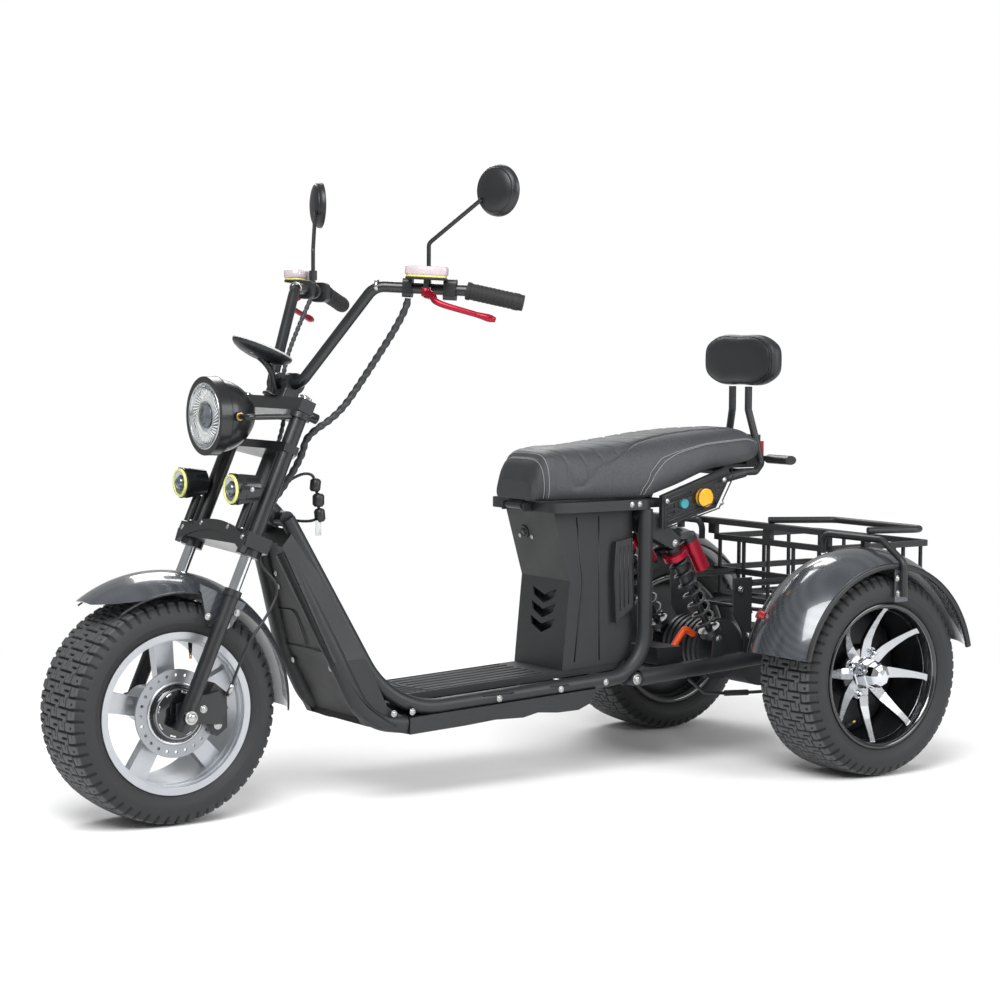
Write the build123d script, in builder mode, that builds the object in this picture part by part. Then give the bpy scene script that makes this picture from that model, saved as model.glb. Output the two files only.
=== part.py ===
"""Three-wheeled electric cruiser with a rear basket, modelled in millimetres.

+X points forward, +Y to the rider's left and +Z up.  The floor is z = 0 and
the origin is under the middle of the whole machine.
"""

import os
from math import cos, radians, sin, sqrt

from build123d import *

os.makedirs("parts", exist_ok=True)

# Driving dimensions
wheelbase = 1608
rear_track = 778
tyre_radius = 235
tyre_width = 198
rake = 23.6                     # degrees, lean of the fork from upright
rear_overhang = 400             # rear axle to the back of the basket
cut_over = 40                   # how far a cutting tool runs past its work
seat_gap = 0.3                  # pieces that only rest on each other
fit_gap = 0.05                  # radial play of a bearing
sides = (1, -1)                 # left and right

rear_x = -(wheelbase + tyre_radius - rear_overhang) / 2
front_x = rear_x + wheelbase
axle_z = tyre_radius

# Tyres and rims
flange_radius = 169
flange_half = 88                # half the distance between the rim's two lips
bead_radius = 158
bead_half = 84
rim_wall = 6
barrel_radius = 148
rim_steps = ((0, 155), (9, 155), (9, 151), (24, 151), (24, 148))    # inset from the lip, radius
tread_half = 78
tread_drop = 5                  # how far the tread's edge lies under its crown
shoulder_drop = 42
wall_bulge = 45
front_spokes = 5
front_spoke_width = 44
front_spoke_root = 34
front_spoke_depth = 26
front_hub_radius = 40
front_hub_half = 78
rear_blades = 8
blade_thick = 9
blade_width = 30
blade_bow = 1.4                 # bow radius of a blade, of its length
blade_inset = 16                # blade face behind the rim's lip
rear_hub_radius = 46
rear_hub_depth = 60
cap_radius = 21
cap_length = 20
cap_taper = 12                  # degrees
lug_count = 4
lug_circle = 33
lug_radius = 8
lug_length = 22
rear_axle_radius = 14

# Brakes
disc_radius = 92
disc_thick = 4
disc_hole_radius = 3.5
disc_holes = 24
disc_hole_circle = 80
hub_cover_radius = 59
hub_cover_depth = 12
hub_cover_taper = 30            # degrees
disc_play = 0.9                 # between the disc and the caliper's slot

# Fork, all along the leaning fork from the front axle
fork_half = 126                 # middle of a leg from the middle of the machine
leg_radius = 15.5
leg_low = -34
leg_high = 276
collar_high = 14
stanchion_radius = 12.5
crown_low = 367
crown_high = 398
yoke_low = 582
yoke_high = 600
yoke_share = 0.6                # depth of the upper plates, of the crown's
clamp_low = 672
clamp_high = 700
fork_top = 706
crown_depth = 58
stem_set = 45                   # steering stem behind the fork legs
stem_radius = 15
head_radius = 24
bearing_gap = 1                 # end play of the steering head
cover_radius = 17
cover_runs = ((crown_high, yoke_low), (yoke_high, clamp_low))
wing_set = 31                   # face of the crown's wing ahead of the fork tubes
wing_thick = 12
wing_half = 154
wing_tip = 380
wing_top = 412
wing_foot_half = 148
wing_foot = 352
wing_arch = 388
wing_boss_radius = 24
wing_boss_drop = 16
riser_size = (38, 24)
riser_corner = 6
bar_block_radius = 23
lock_place = (60, 686)          # left of the middle, up the fork
lock_reach = (-10, -76)
lock_radius = 11
head_low = crown_high + bearing_gap
head_high = yoke_low - bearing_gap
front_axle_radius = 8
axle_nut_radius = 14
axle_nut_length = 10

# Front fender
fender_radius = 289
fender_wall = 3
front_fender_start = 54         # degrees up from straight ahead
front_fender_sweep = 129        # degrees
front_fender_half = 103
fender_edge_radius = 251
fender_tip = ((182, 380), (182, 464), (52, 478), (52, 380))    # cut away, ahead of the axle
fender_stay_thick = 8
lobe_outline = ((-46, 262), (-34, 206), (-16, 190), (14, 190), (36, 214), (70, 262))
lobe_shelf = ((-46, 262), (-44, 248), (62, 248), (70, 262))
lobe_shelf_thick = 26

# Handlebar, across the machine from its middle
bar_radius = 12
bar_bends = (30, 42, 42)        # at the seat, shoulder and grip
bar_seat = (wheelbase - 303, 909)
bar_seat_half = 62
bar_shoulder = (wheelbase - 422, 170, 1116)
bar_grip_in = (wheelbase - 571, 295, 1107)
bar_grip_out = (wheelbase - 656, 366, 1083)
grip_radius = 17
bar_clamp_half = 31

# Frame
rail_radius = 17
rail_bend = 190
rail_tail_bend = 105
rail_top_half = 46
rail_half = 120
rail_top = (wheelbase - 281, 622)
rail_knee = (wheelbase - 494, 198)
rail_corner = (422, 230)
rail_end_z = 614
cross_radius = 14
neck_radius = 21
frame_plate = 7
pivot_radius = 16
pivot_half = 138
pivot_plate = ((442, 207), (474, 205), (508, 226), (470, 262), (446, 240))
shock_plate = ((434, 608), (434, 562), (344, 518), (331, 518), (321, 528), (322, 546), (404, 608))

# Leg shield, floor and belly
shield_front_top = (wheelbase - 256, 566)
shield_front_low = (wheelbase - 346, 322)
shield_belly = (wheelbase - 534, 149)
belly_wave = ((930, 156), (850, 162), (775, 160), (735, 168), (680, 163), (622, 164), (590, 176))
shield_top_half = 66
shield_half = 136
floor_thick = 16
floor_front = wheelbase - 523
floor_half = rail_half - rail_radius - 9
floor_crosses = (560, 760, 960)

# Seat box and the battery in it
box_half = 96
box_rear = 442
box_front_top = 668
box_front_waist = 620
box_front_low = 640
box_waist_z = 455
box_top_z = 618
box_wall = 4
rim_depth = 23
rim_width = 30
battery_size = (150, 150, 260)
vent_heights = (432, 398, 364)
vent_half = 48
vent_drop = 16
vent_high = 20
vent_slant = 8
vent_reach = 6                  # vents' cut behind the waist of the box's front

# Seat and backrest
seat_base_wall = 3
seat_low = rail_end_z + rim_depth + seat_base_wall + 3 * seat_gap
seat_hinge = (706, 626)
hinge_radius = 5
pad_size = (54, 250, 126)
pad_corner = 42
pad_place = (22, 955)
backrest_radius = 9

# Tail
tail_rail_radius = 11
tail_rail_half = 100
tail_panel_thick = 11
tail_panel_half = 132
reflector_radius = 22
reflector_depth = 9
tail_box = (44, 56, 72)
tail_box_place = (20, 738)
signal_place = (-6, 716)
signal_stem = 30
signal_radius = 7
signal_length = 78

# Swingarm, axle and drive
arm_radius = 19
arm_pivot = (456, 221)
axle_tube_radius = 28
axle_tube_half = 262
drum_radius = 62
gear_radius = 76
gear_half = 46
motor_radius = 74
motor_half = 66
fin_depth = 5
fin_count = 7

# Shock absorbers
shock_half = 100
shock_top = (334, 530)
shock_low = (200, 298)
spring_radius = 27
spring_wire = 4
wire_sides = 6
damper_radius = 17
collar_radius = 31
reservoir_radius = 19
reservoir_length = 78

# Basket between the rear wheels
basket_front = -56
basket_half = 212
basket_top = 505
basket_mid = 424
basket_low = 356
basket_bar = 7
basket_wire = 5
basket_uprights = 5
rail_flat_z = 545
rail_flat_half = 362
rail_flat_size = (26, 14)
loop_radius = 8
loop_reach = 150
loop_cut = 75                   # middle of the machine to the loop's corner
loop_swell = 37                 # outer corner beyond the flat bar
loop_z = rail_flat_z + (rail_flat_size[1] + 2 * loop_radius) / 2 + seat_gap
stub_half = 7
stub_inset = 44                 # stubs inboard of the fenders' middle
hoop_radius = 8
hoop_x = -30

# Rear fenders
rear_fender_radius = 292
rear_fender_edge = 250
rear_fender_half = 105
rear_fender_start = 12          # degrees up from straight ahead
rear_fender_sweep = 156         # degrees

# Lamps, gauge and mirrors
headlight_radius = 83
headlight_place = (144, 600)    # face of the glass, forward of and up the fork
headlight_depth = 110
bezel_depth = 26
glass_radius = 70
fog_radius = 33
fog_half = 116
fog_place = (82, 467)
fog_depth = 54
gauge_size = (96, 72)             # across, half of its length
gauge_place = (73, 785)
mirror_radius = 54
mirror_thick = 16
mirror_stem = 4.5

lamp_arm_lift = 1               # headlight arms over the lamp's middle
arm_bar = 6
arm_bend = 12
arm_width = 14
bucket_step = 5
bucket_middle = (80, 59)        # behind the face, radius
bucket_rear = (headlight_depth, 20)
boss_radius = 10
boss_proud = 2                  # headlight side bosses beyond the bezel
glass_depth = 12
fog_taper = 6                   # degrees
cage_set = 4
cage_radius = 37
cage_sides = 6
cage_taper = 8                  # degrees
cage_window = 14
cage_slots = ((9, 12), (26, 20))     # start behind the face, length
fog_foot = 34
fog_foot_high = 458
fog_stem = 9
fog_rim = 5
gauge_tilt = 68                 # degrees
gauge_thick = 22
gauge_rim = 8
gauge_foot = 14
gauge_stalk = 7
mirror_centre = (wheelbase - 602, 368, 1313)
mirror_turn = 17                # degrees
mirror_taper = 25               # degrees
mirror_lip = 4
mirror_rise = 70
mirror_boss = (30, -18)
mirror_bend = 14
boot_length = 22
boot_radius = 9

# Hand controls
grip_end = 8
grip_collar = 2                 # inner collar beyond the grip
pod_shares = (0.82, 0.36)
pod_sizes = ((40, 44, 26), (34, 40, 20))
pod_corner_share = 0.25
perch_share = 0.58
perch_tower = (8, 24)           # foot and top over the bar's middle
perch_wall = 5
perch_reach = 44
reservoir_size = (60, 36, 20)
reservoir_set = 36
reservoir_lift = 28
reservoir_corner = 9
lever_root = 36
lever_boss_high = 14
lever_points = ((wheelbase - 478, 312, 1080), (wheelbase - 528, 348, 1062), (wheelbase - 586, 380, 1046))
lever_radius = 5
lever_bend = 60
lever_ball = 8
caliper_wall = 18
caliper_width = 44
caliper_outline = ((74, 30), (98, 38), (112, 20), (112, -18), (98, -32), (74, -24))
caliper_plate = 8
caliper_bracket = ((12, -18), (12, 24), (-84, 44), (-104, 8), (-90, -26))
caliper_face = front_hub_half - caliper_wall + caliper_width + seat_gap

# Leg shield corners on its back
shield_curve = (wheelbase - 428, 176)
shield_back_low = (wheelbase - 480, 214)
shield_back_top = (wheelbase - 290, 600)
recess_depth = 12
recess_trim = 30                # from the shield's side to the recess
moulding_proud = 7              # side mouldings beyond the shell
moulding_radius = 21
moulding_bend = 120
moulding_points = ((shield_front_top[0] - 16, 50, shield_front_top[1] - 12),
                   (shield_front_low[0] - 18, shield_half - 24, shield_front_low[1]),
                   (shield_curve[0] - 6, shield_half - 21, shield_curve[1] + 10),
                   (shield_belly[0] + 4, shield_half - 21, shield_belly[1] + 22))

belly_tail = 570
floor_kick = 22
ring_front = 690
scoop_depth = 14
scoop_outline = ((4, 386), (56, 352), (62, 470), (56, 540), (12, 548))

ring_rear = rail_corner[0] - rail_radius
ring_half = rail_half + rail_radius
tail_end = 110
tail_cross_radius = 9
tail_rail = ((ring_rear - seat_gap, 626), (352, 626), (300, 652), (tail_end, 688))
tail_bend = 30
tail_plate = 8
tail_lap = 1
tail_outline = ((384, 568), (384, 644), (186, 706), (180, 682), (222, 610))
louvres = (((372, 576), (372, 585), (226, 628), (222, 620)), ((372, 592), (372, 601), (346, 609), (346, 600)),
           ((372, 608), (372, 617), (346, 625), (346, 616)), ((372, 624), (372, 633), (300, 656), (296, 648)))
louvre_depth = 3
panel_clips = ((375, 624), (205, 669))
clip_radius = 8
reflector_place = (262, 636)
reflector_taper = 12
port_place = (322, 624)
port_radius = 11
port_depth = 8
tail_lamp_size = (12, 52, 40)
signal_size = (34, 22)
pad_low = pad_place[1] - pad_size[2] / 2
backrest_points = ((40, 30, pad_low - seat_gap), (40, 30, 836), (32, 56, 748), (26, 64, 706),
                   (52, 74, 688), (tail_end - tail_cross_radius - seat_gap, 74, 688))
backrest_bend = 12
seat_sections = ((56, 92, 726, 748, 772), (96, 112, 716, 752, 792), (240, 128, 700, 738, 790),
                 (420, 122, seat_low, 706, 776), (560, 112, seat_low, 708, 758),
                 (670, 96, seat_low, 706, 752), (712, 78, seat_low, 668, 676))
hinge_half = 40
hinge_leaf = 4
knuckle_half = 30
knuckle_radius = 8
base_front = 702
base_tab = 12


# Drive and suspension details
arm_half = 120
arm_lift = 11                   # arm's middle over the axle
arm_rear = (axle_tube_radius + bearing_gap, axle_z + arm_lift)
motor_lift = 27
shock_eye = 12
shock_eye_half = 13
lug_width = 8
spring_turns = 7
drum_width = 26
marker_size = (12, 30, 18)
marker_corner = 6
arm_cross = 330
arm_cross_z = 228
body_length = 120
collar_start = 26
collar_length = 14
reservoir_set_back = 53
cap_depth = 14
bridge_radius = 6
basket_corner = 26
corner_cut = 45                 # degrees
side_uprights = 3
loop_bend = 30
bolt_hole = 4.5
bolt_out = 40                   # carrier bolt hole right of the middle
hoop_in = basket_half + basket_bar + hoop_radius + seat_gap
tab_lap = 0.8
tab_low = 408
tab_width = 40
tab_high = axle_z + rear_fender_edge
hoop_out = rear_track / 2 + rear_fender_half + fender_wall - tab_lap + hoop_radius + seat_gap
hoop_points = ((hoop_in, 499), (hoop_in, 545), (430, 545), (hoop_out, 498), (hoop_out, 420))
hoop_bend = 24
marker_lift = 30                # degrees
marker_lean = 23                # degrees
leg_z = 424
leg_bar = 8
leg_bend = 24
bundle_radius = 7
bundle_drop = 22
bundle_bends = (14, 30, 30, 30, 30, 30, 14)
bundle_upper = ((wheelbase - 415, 132, 918), (wheelbase - 372, 106, 845), (wheelbase - 302, 88, 800))
bundle_lower = ((-64, 80, 600), (-58, 62, 520), (-36, 48, 440), (-36, 48, crown_high + seat_gap))
hose_radius = 3
hose_bends = (8, 22, 22, 22)
hose_start = 16                 # straight run under the crown
hose_points = ((-34, 116, crown_low - seat_gap), (-34, 116, crown_low - hose_start), (-96, 132, 322),
               (-92, 136, 262), (-66, 134, 170), (-78, 120, 92))
junction_size = (72, 110, 40)
junction_y = 42
line_radius = 4
line_bend = 16
line_points = ((24, 232.3, 194), (70, 200, 172), (140, 160, 168), (196, 140, 168), (250, 130, 172),
               (292, 122, 207.5))
connector_radius = 7
motor_cable_radius = 8
motor_cable_bend = 10
cable_angle = 30                # degrees, where the cable meets the motor
cable_run = 16
cable_stand = 32
cable_rise = 8
strap_thick = 6
strap_foot = (104, 121)         # rear and front edge on the swingarm
strap_outline = ((100, 330), (100, 438), (156, 438), (156, 356), (132, 318), (120, 290))
loop_front = 66


def save(part, name):
    """Label one piece and write it as its own STEP file."""
    part.label = name
    export_step(part, "parts/" + name + ".step")


def place(x, y, z):
    """A point given forward of the rear axle."""
    return Vector(rear_x + x, y, z)


def side_plane(y=0):
    """Upright plane along the machine: local x is forward of the rear axle."""
    return Plane(origin=(rear_x, y, 0), x_dir=(1, 0, 0), z_dir=(0, -1, 0))


fork = Plane(origin=(front_x, 0, axle_z), x_dir=(cos(radians(rake)), 0, sin(radians(rake))),
             z_dir=(-sin(radians(rake)), 0, cos(radians(rake))))


def on_fork(forward, y, up):
    """A point in the leaning frame of the fork, from the front axle."""
    return fork.from_local_coords(Vector(forward, y, up))


def fork_side(y=0):
    """Plane along the fork: local x is forward and local y runs up the legs."""
    return Plane(origin=on_fork(0, y, 0), x_dir=fork.x_dir, z_dir=(0, -1, 0))


def wheel_face(x, y):
    """Plane facing left at a wheel: local x is backward and local y is up."""
    return Plane(origin=(x, y, axle_z), x_dir=(-1, 0, 0), z_dir=(0, 1, 0))


def wheel_section(x, y, lift=90):
    """Half section of a wheel: local x is left, local y is outward at angle lift."""
    return Plane(origin=(x, y, axle_z), x_dir=(0, 1, 0),
                 z_dir=(sin(radians(lift)), 0, -cos(radians(lift))))


def rod(start, end, radius, mode=Mode.ADD):
    """A straight round bar added to the piece at hand."""
    run = Vector(*end) - Vector(*start)
    with BuildSketch(Plane(origin=start, z_dir=run)) as section:
        Circle(radius)
    extrude(section.sketch, amount=run.length, mode=mode)


def bent(points, bend, radius, mode=Mode.ADD):
    """A round bar along straight runs joined by tangent arcs."""
    with BuildLine() as route:
        FilletPolyline(*points, radius=bend)
    with BuildSketch(Plane(origin=route.line @ 0, z_dir=route.line % 0)) as section:
        Circle(radius)
    sweep(section.sketch, path=route.line, mode=mode)


def turn(plane, points, x, y):
    """A ring turned about a wheel's axle from a closed outline of (y, radius) points."""
    with BuildSketch(plane) as section:
        with BuildLine():
            Polyline(*points, close=True)
        make_face()
    revolve(section.sketch, axis=Axis((x, y, axle_z), (0, 1, 0)))


def make_tyre(name, x, y):
    """Wide road tyre: crowned tread, round shoulders and a bulged wall."""
    half = tyre_width / 2
    with BuildPart() as tyre:
        with BuildSketch(wheel_section(x, y)) as section:
            with BuildLine() as outline:
                edge = (tread_half, tyre_radius - tread_drop)
                wall = (half, tyre_radius - shoulder_drop)
                foot = (bead_half, bead_radius + seat_gap)
                rise = (bead_half, flange_radius + seat_gap)
                ThreePointArc((-edge[0], edge[1]), (0, tyre_radius), edge)
                RadiusArc(edge, wall, shoulder_drop)
                RadiusArc(wall, rise, wall_bulge)
                Polyline(rise, foot, (-foot[0], foot[1]), (-rise[0], rise[1]))
                RadiusArc((-rise[0], rise[1]), (-wall[0], wall[1]), wall_bulge)
                RadiusArc((-wall[0], wall[1]), (-edge[0], edge[1]), shoulder_drop)
            make_face()
        revolve(axis=Axis((x, y, axle_z), (0, 1, 0)))
    save(tyre.part, name)


def rim_outline():
    """Outline of a rim's barrel: lips, bead seats and the dropped middle."""
    lip = flange_radius
    steps = [(flange_half - inset, radius) for inset, radius in rim_steps]
    return ([(-y, radius) for y, radius in reversed(steps)]
            + [(-flange_half, lip), (-bead_half - seat_gap, lip),
               (-bead_half - seat_gap, bead_radius), (bead_half + seat_gap, bead_radius),
               (bead_half + seat_gap, lip), (flange_half, lip)] + steps)


# Wheel places
rear_y = rear_track / 2
make_tyre("front_tyre", front_x, 0)
make_tyre("rear_tyre_left", rear_x, rear_y)
make_tyre("rear_tyre_right", rear_x, -rear_y)

# Front rim with five broad cast spokes
with BuildPart() as front_rim:
    turn(wheel_section(front_x, 0), rim_outline(), front_x, 0)
    with BuildSketch() as spoke:
        with BuildLine():
            Polyline((0, -front_spoke_root / 2), (barrel_radius + rim_wall / 2, -front_spoke_width / 2),
                     (barrel_radius + rim_wall / 2, front_spoke_width / 2),
                     (0, front_spoke_root / 2), close=True)
        make_face()
    with BuildSketch(wheel_face(front_x, front_spoke_depth)) as spokes:
        with PolarLocations(0, front_spokes, start_angle=rake):
            add(spoke.sketch)
    extrude(spokes.sketch, amount=front_spoke_depth)
    with BuildSketch(wheel_face(front_x, -front_hub_half)) as hub:
        Circle(front_hub_radius)
    extrude(hub.sketch, amount=2 * front_hub_half)
    with BuildSketch(wheel_face(front_x, -front_hub_half - cut_over)) as bore:
        Circle(front_axle_radius + fit_gap)
    extrude(bore.sketch, amount=2 * (front_hub_half + cut_over), mode=Mode.SUBTRACT)
save(front_rim.part, "front_rim")

# Drilled front brake disc with its slotted hub cover
with BuildPart() as front_disc:
    with BuildSketch(wheel_face(front_x, front_hub_half)) as plate:
        Circle(disc_radius)
        Circle(front_axle_radius + fit_gap, mode=Mode.SUBTRACT)
        with PolarLocations(disc_hole_circle, disc_holes):
            Circle(disc_hole_radius, mode=Mode.SUBTRACT)
    extrude(plate.sketch, amount=disc_thick)
    with BuildSketch(wheel_face(front_x, front_hub_half + disc_thick)) as cover:
        Circle(hub_cover_radius)
        Circle(front_axle_radius + fit_gap, mode=Mode.SUBTRACT)
    extrude(cover.sketch, amount=hub_cover_depth, taper=hub_cover_taper)
save(front_disc.part, "front_brake_disc")


def make_rear_rim(name, hand):
    """Deep rear rim with eight swept blades, a stepped hub, lug nuts and a cap."""
    y = hand * rear_y
    outer = y + hand * (flange_half - blade_inset)
    with BuildPart() as rim:
        turn(wheel_section(rear_x, y), rim_outline(), rear_x, y)
        with BuildSketch() as blade:
            with BuildLine():
                reach = barrel_radius + rim_wall / 2
                edge = RadiusArc((0, 0), (reach, -hand * blade_width), -hand * reach * blade_bow)
                Polyline(edge @ 1, (reach, 0), (0, 0))
            make_face()
        with BuildSketch(wheel_face(rear_x, outer)) as blades:
            with PolarLocations(0, rear_blades):
                add(blade.sketch)
        extrude(blades.sketch, amount=-hand * blade_thick)
        with BuildSketch(wheel_face(rear_x, outer)) as hub:
            Circle(rear_hub_radius)
        extrude(hub.sketch, amount=-hand * rear_hub_depth)
        with BuildSketch(wheel_face(rear_x, outer)) as cap:
            Circle(cap_radius)
        extrude(cap.sketch, amount=hand * cap_length, taper=cap_taper)
        with BuildSketch(wheel_face(rear_x, outer)) as lugs:
            with PolarLocations(lug_circle, lug_count):
                RegularPolygon(lug_radius, 6)
        extrude(lugs.sketch, amount=hand * lug_length)
        with BuildSketch(wheel_face(rear_x, outer - hand * rear_hub_depth)) as bore:
            Circle(rear_axle_radius + fit_gap)
        extrude(bore.sketch, amount=hand * (rear_hub_depth - blade_thick), mode=Mode.SUBTRACT)
    save(rim.part, name)


make_rear_rim("rear_rim_left", 1)
make_rear_rim("rear_rim_right", -1)


def make_fender(x, y, half, radius, edge, start, sweep, wall):
    """Curved mudguard: an arched section carried round the wheel's axle."""
    plane = wheel_section(x, y, start)
    with BuildSketch(plane) as section:
        with BuildLine():
            ThreePointArc((-half, edge), (0, radius), (half, edge))
            Line((half, edge), (half - wall, edge))
            ThreePointArc((half - wall, edge), (0, radius - wall), (wall - half, edge))
            Line((wall - half, edge), (-half, edge))
        make_face()
    revolve(section.sketch, axis=Axis((x, y, axle_z), (0, -1, 0)), revolution_arc=sweep)


# Front fender with a stay down to each fork leg
with BuildPart() as front_fender:
    make_fender(front_x, 0, front_fender_half, fender_radius, fender_edge_radius,
                front_fender_start, front_fender_sweep, fender_wall)
    with BuildSketch(side_plane()) as tip:
        with BuildLine():
            Polyline(*[(wheelbase + x, z) for x, z in fender_tip], close=True)
        make_face()
    extrude(tip.sketch, amount=front_fender_half + cut_over, both=True, mode=Mode.SUBTRACT)
    for hand in sides:
        for outline, thick in ((lobe_outline, fender_stay_thick), (lobe_shelf, lobe_shelf_thick)):
            with BuildSketch(fork_side(hand * (fork_half - leg_radius - seat_gap))) as lobe:
                with BuildLine():
                    Polyline(*outline, close=True)
                make_face()
            extrude(lobe.sketch, amount=hand * thick)
save(front_fender.part, "front_fender")

# Lower fork legs with the axle and its nuts, and the caliper's plate on the left leg
with BuildPart() as fork_lowers:
    for hand in sides:
        rod(on_fork(0, hand * fork_half, leg_low), on_fork(0, hand * fork_half, leg_high), leg_radius)
        rod(on_fork(0, hand * fork_half, leg_high - collar_high),
            on_fork(0, hand * fork_half, leg_high), leg_radius + fender_wall)
    with BuildSketch(side_plane(caliper_face)) as bracket:
        with BuildLine():
            Polyline(*[(wheelbase + x, axle_z + z) for x, z in caliper_bracket], close=True)
        make_face()
    extrude(bracket.sketch, amount=-caliper_plate)
    reach = fork_half + leg_radius
    rod((front_x, -reach, axle_z), (front_x, reach, axle_z), front_axle_radius)
    for hand in sides:
        rod((front_x, hand * reach, axle_z), (front_x, hand * (reach + axle_nut_length), axle_z),
            axle_nut_radius)
save(fork_lowers.part, "fork_lower_legs")

# Chrome fork tubes, seated on the lower legs
with BuildPart() as fork_tubes:
    for hand in sides:
        rod(on_fork(0, hand * fork_half, leg_high), on_fork(0, hand * fork_half, fork_top),
            stanchion_radius)
save(fork_tubes.part, "fork_tubes")


def clamp_plate(low, high, depth):
    """Bridge plate between the fork tubes, set back to the steering stem."""
    with BuildSketch(fork.offset(low)) as plate:
        with BuildLine():
            wide = fork_half + depth / 2
            Polyline((-depth / 2, -wide), (depth / 2, -wide), (depth / 2, wide), (-depth / 2, wide),
                     (-stem_set - head_radius, head_radius), (-stem_set - head_radius, -head_radius),
                     close=True)
        make_face()
        with Locations((0, fork_half), (0, -fork_half)):
            Circle(stanchion_radius, mode=Mode.SUBTRACT)
    extrude(plate.sketch, amount=high - low)


# Black covers round the fork tubes between the plates
with BuildPart() as fork_covers:
    for hand in sides:
        for low, high in cover_runs:
            rod(on_fork(0, hand * fork_half, low + seat_gap), on_fork(0, hand * fork_half, high - seat_gap),
                cover_radius)
        rod(on_fork(0, hand * fork_half, crown_high - cut_over), on_fork(0, hand * fork_half, fork_top),
            stanchion_radius + seat_gap, mode=Mode.SUBTRACT)
save(fork_covers.part, "fork_covers")

# Lower crown with its arched wing, middle yoke and top clamp on one steering stem
with BuildPart() as fork_crown:
    clamp_plate(crown_low, crown_high, crown_depth)
    with BuildSketch(Plane(origin=on_fork(wing_set, 0, 0), x_dir=(0, 1, 0), z_dir=fork.x_dir)) as wing:
        with BuildLine():
            tip, foot = (wing_half, wing_tip), (wing_foot_half, wing_foot)
            ThreePointArc((-tip[0], tip[1]), (0, wing_top), tip)
            Line(tip, foot)
            ThreePointArc(foot, (0, wing_arch), (-foot[0], foot[1]))
            Line((-foot[0], foot[1]), (-tip[0], tip[1]))
        make_face()
    extrude(wing.sketch, amount=-wing_thick)
    for hand in sides:
        rod(on_fork(0, hand * fork_half, crown_low - wing_boss_drop),
            on_fork(0, hand * fork_half, crown_high), wing_boss_radius)
        rod(on_fork(0, hand * fork_half, crown_low - cut_over),
            on_fork(0, hand * fork_half, crown_high + cut_over), stanchion_radius, mode=Mode.SUBTRACT)
    clamp_plate(yoke_low, yoke_high, crown_depth * yoke_share)
    rod(on_fork(-stem_set, 0, crown_low), on_fork(-stem_set, 0, yoke_high), stem_radius)
save(fork_crown.part, "fork_crown")

bar_seat_place = fork.to_local_coords(place(bar_seat[0], 0, bar_seat[1]))
riser_set = bar_seat_place.X
bar_seat_up = bar_seat_place.Z
with BuildPart() as top_clamp:
    clamp_plate(clamp_low, clamp_high, crown_depth * yoke_share)
    for hand in sides:
        foot = on_fork(riser_set, hand * bar_clamp_half, clamp_high)
        with BuildSketch(Plane(origin=foot, x_dir=fork.x_dir, z_dir=fork.z_dir)) as riser:
            RectangleRounded(riser_size[0], riser_size[1], riser_corner)
        extrude(riser.sketch, amount=bar_seat_up - clamp_high)
        rod(on_fork(riser_set, hand * (bar_clamp_half - riser_size[1] / 2), bar_seat_up),
            on_fork(riser_set, hand * (bar_clamp_half + riser_size[1] / 2), bar_seat_up), bar_block_radius)
    rod(on_fork(riser_set, -bar_seat_half, bar_seat_up), on_fork(riser_set, bar_seat_half, bar_seat_up),
        bar_radius + seat_gap, mode=Mode.SUBTRACT)
    rod(on_fork(lock_reach[0], lock_place[0], lock_place[1]),
        on_fork(lock_reach[1], lock_place[0], lock_place[1]), lock_radius)
save(top_clamp.part, "top_clamp")

# Handlebar: up from the clamps, forward, then swept back to the grips
bar_points = ((bar_seat[0], 0, bar_seat[1]), (bar_seat[0], bar_seat_half, bar_seat[1]),
              bar_shoulder, bar_grip_in, bar_grip_out)
with BuildPart() as handlebar:
    for hand in sides:
        bent([place(x, hand * y, z) for x, y, z in bar_points], bar_bends, bar_radius)
save(handlebar.part, "handlebar")


# Main frame: head tube and two rails down the leg shield, along the floor and up to the seat
def rail_points(hand):
    """Corner points of one side rail from the head tube to the seat."""
    return [place(rail_top[0], hand * rail_top_half, rail_top[1]),
            place(rail_knee[0], hand * rail_half, rail_knee[1]),
            place(rail_corner[0], hand * rail_half, rail_corner[1]),
            place(rail_corner[0], hand * rail_half, rail_end_z)]


def rail_z(x):
    """Height of the rails' middle along the floor."""
    share = (x - rail_corner[0]) / (rail_knee[0] - rail_corner[0])
    return rail_corner[1] + (rail_knee[1] - rail_corner[1]) * share


cross_places = [(x, rail_z(x)) for x in floor_crosses]
cross_places += [(rail_corner[0], rail_end_z - cross_radius),
                 (rail_corner[0], (rail_end_z + rail_corner[1]) / 2)]

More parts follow.
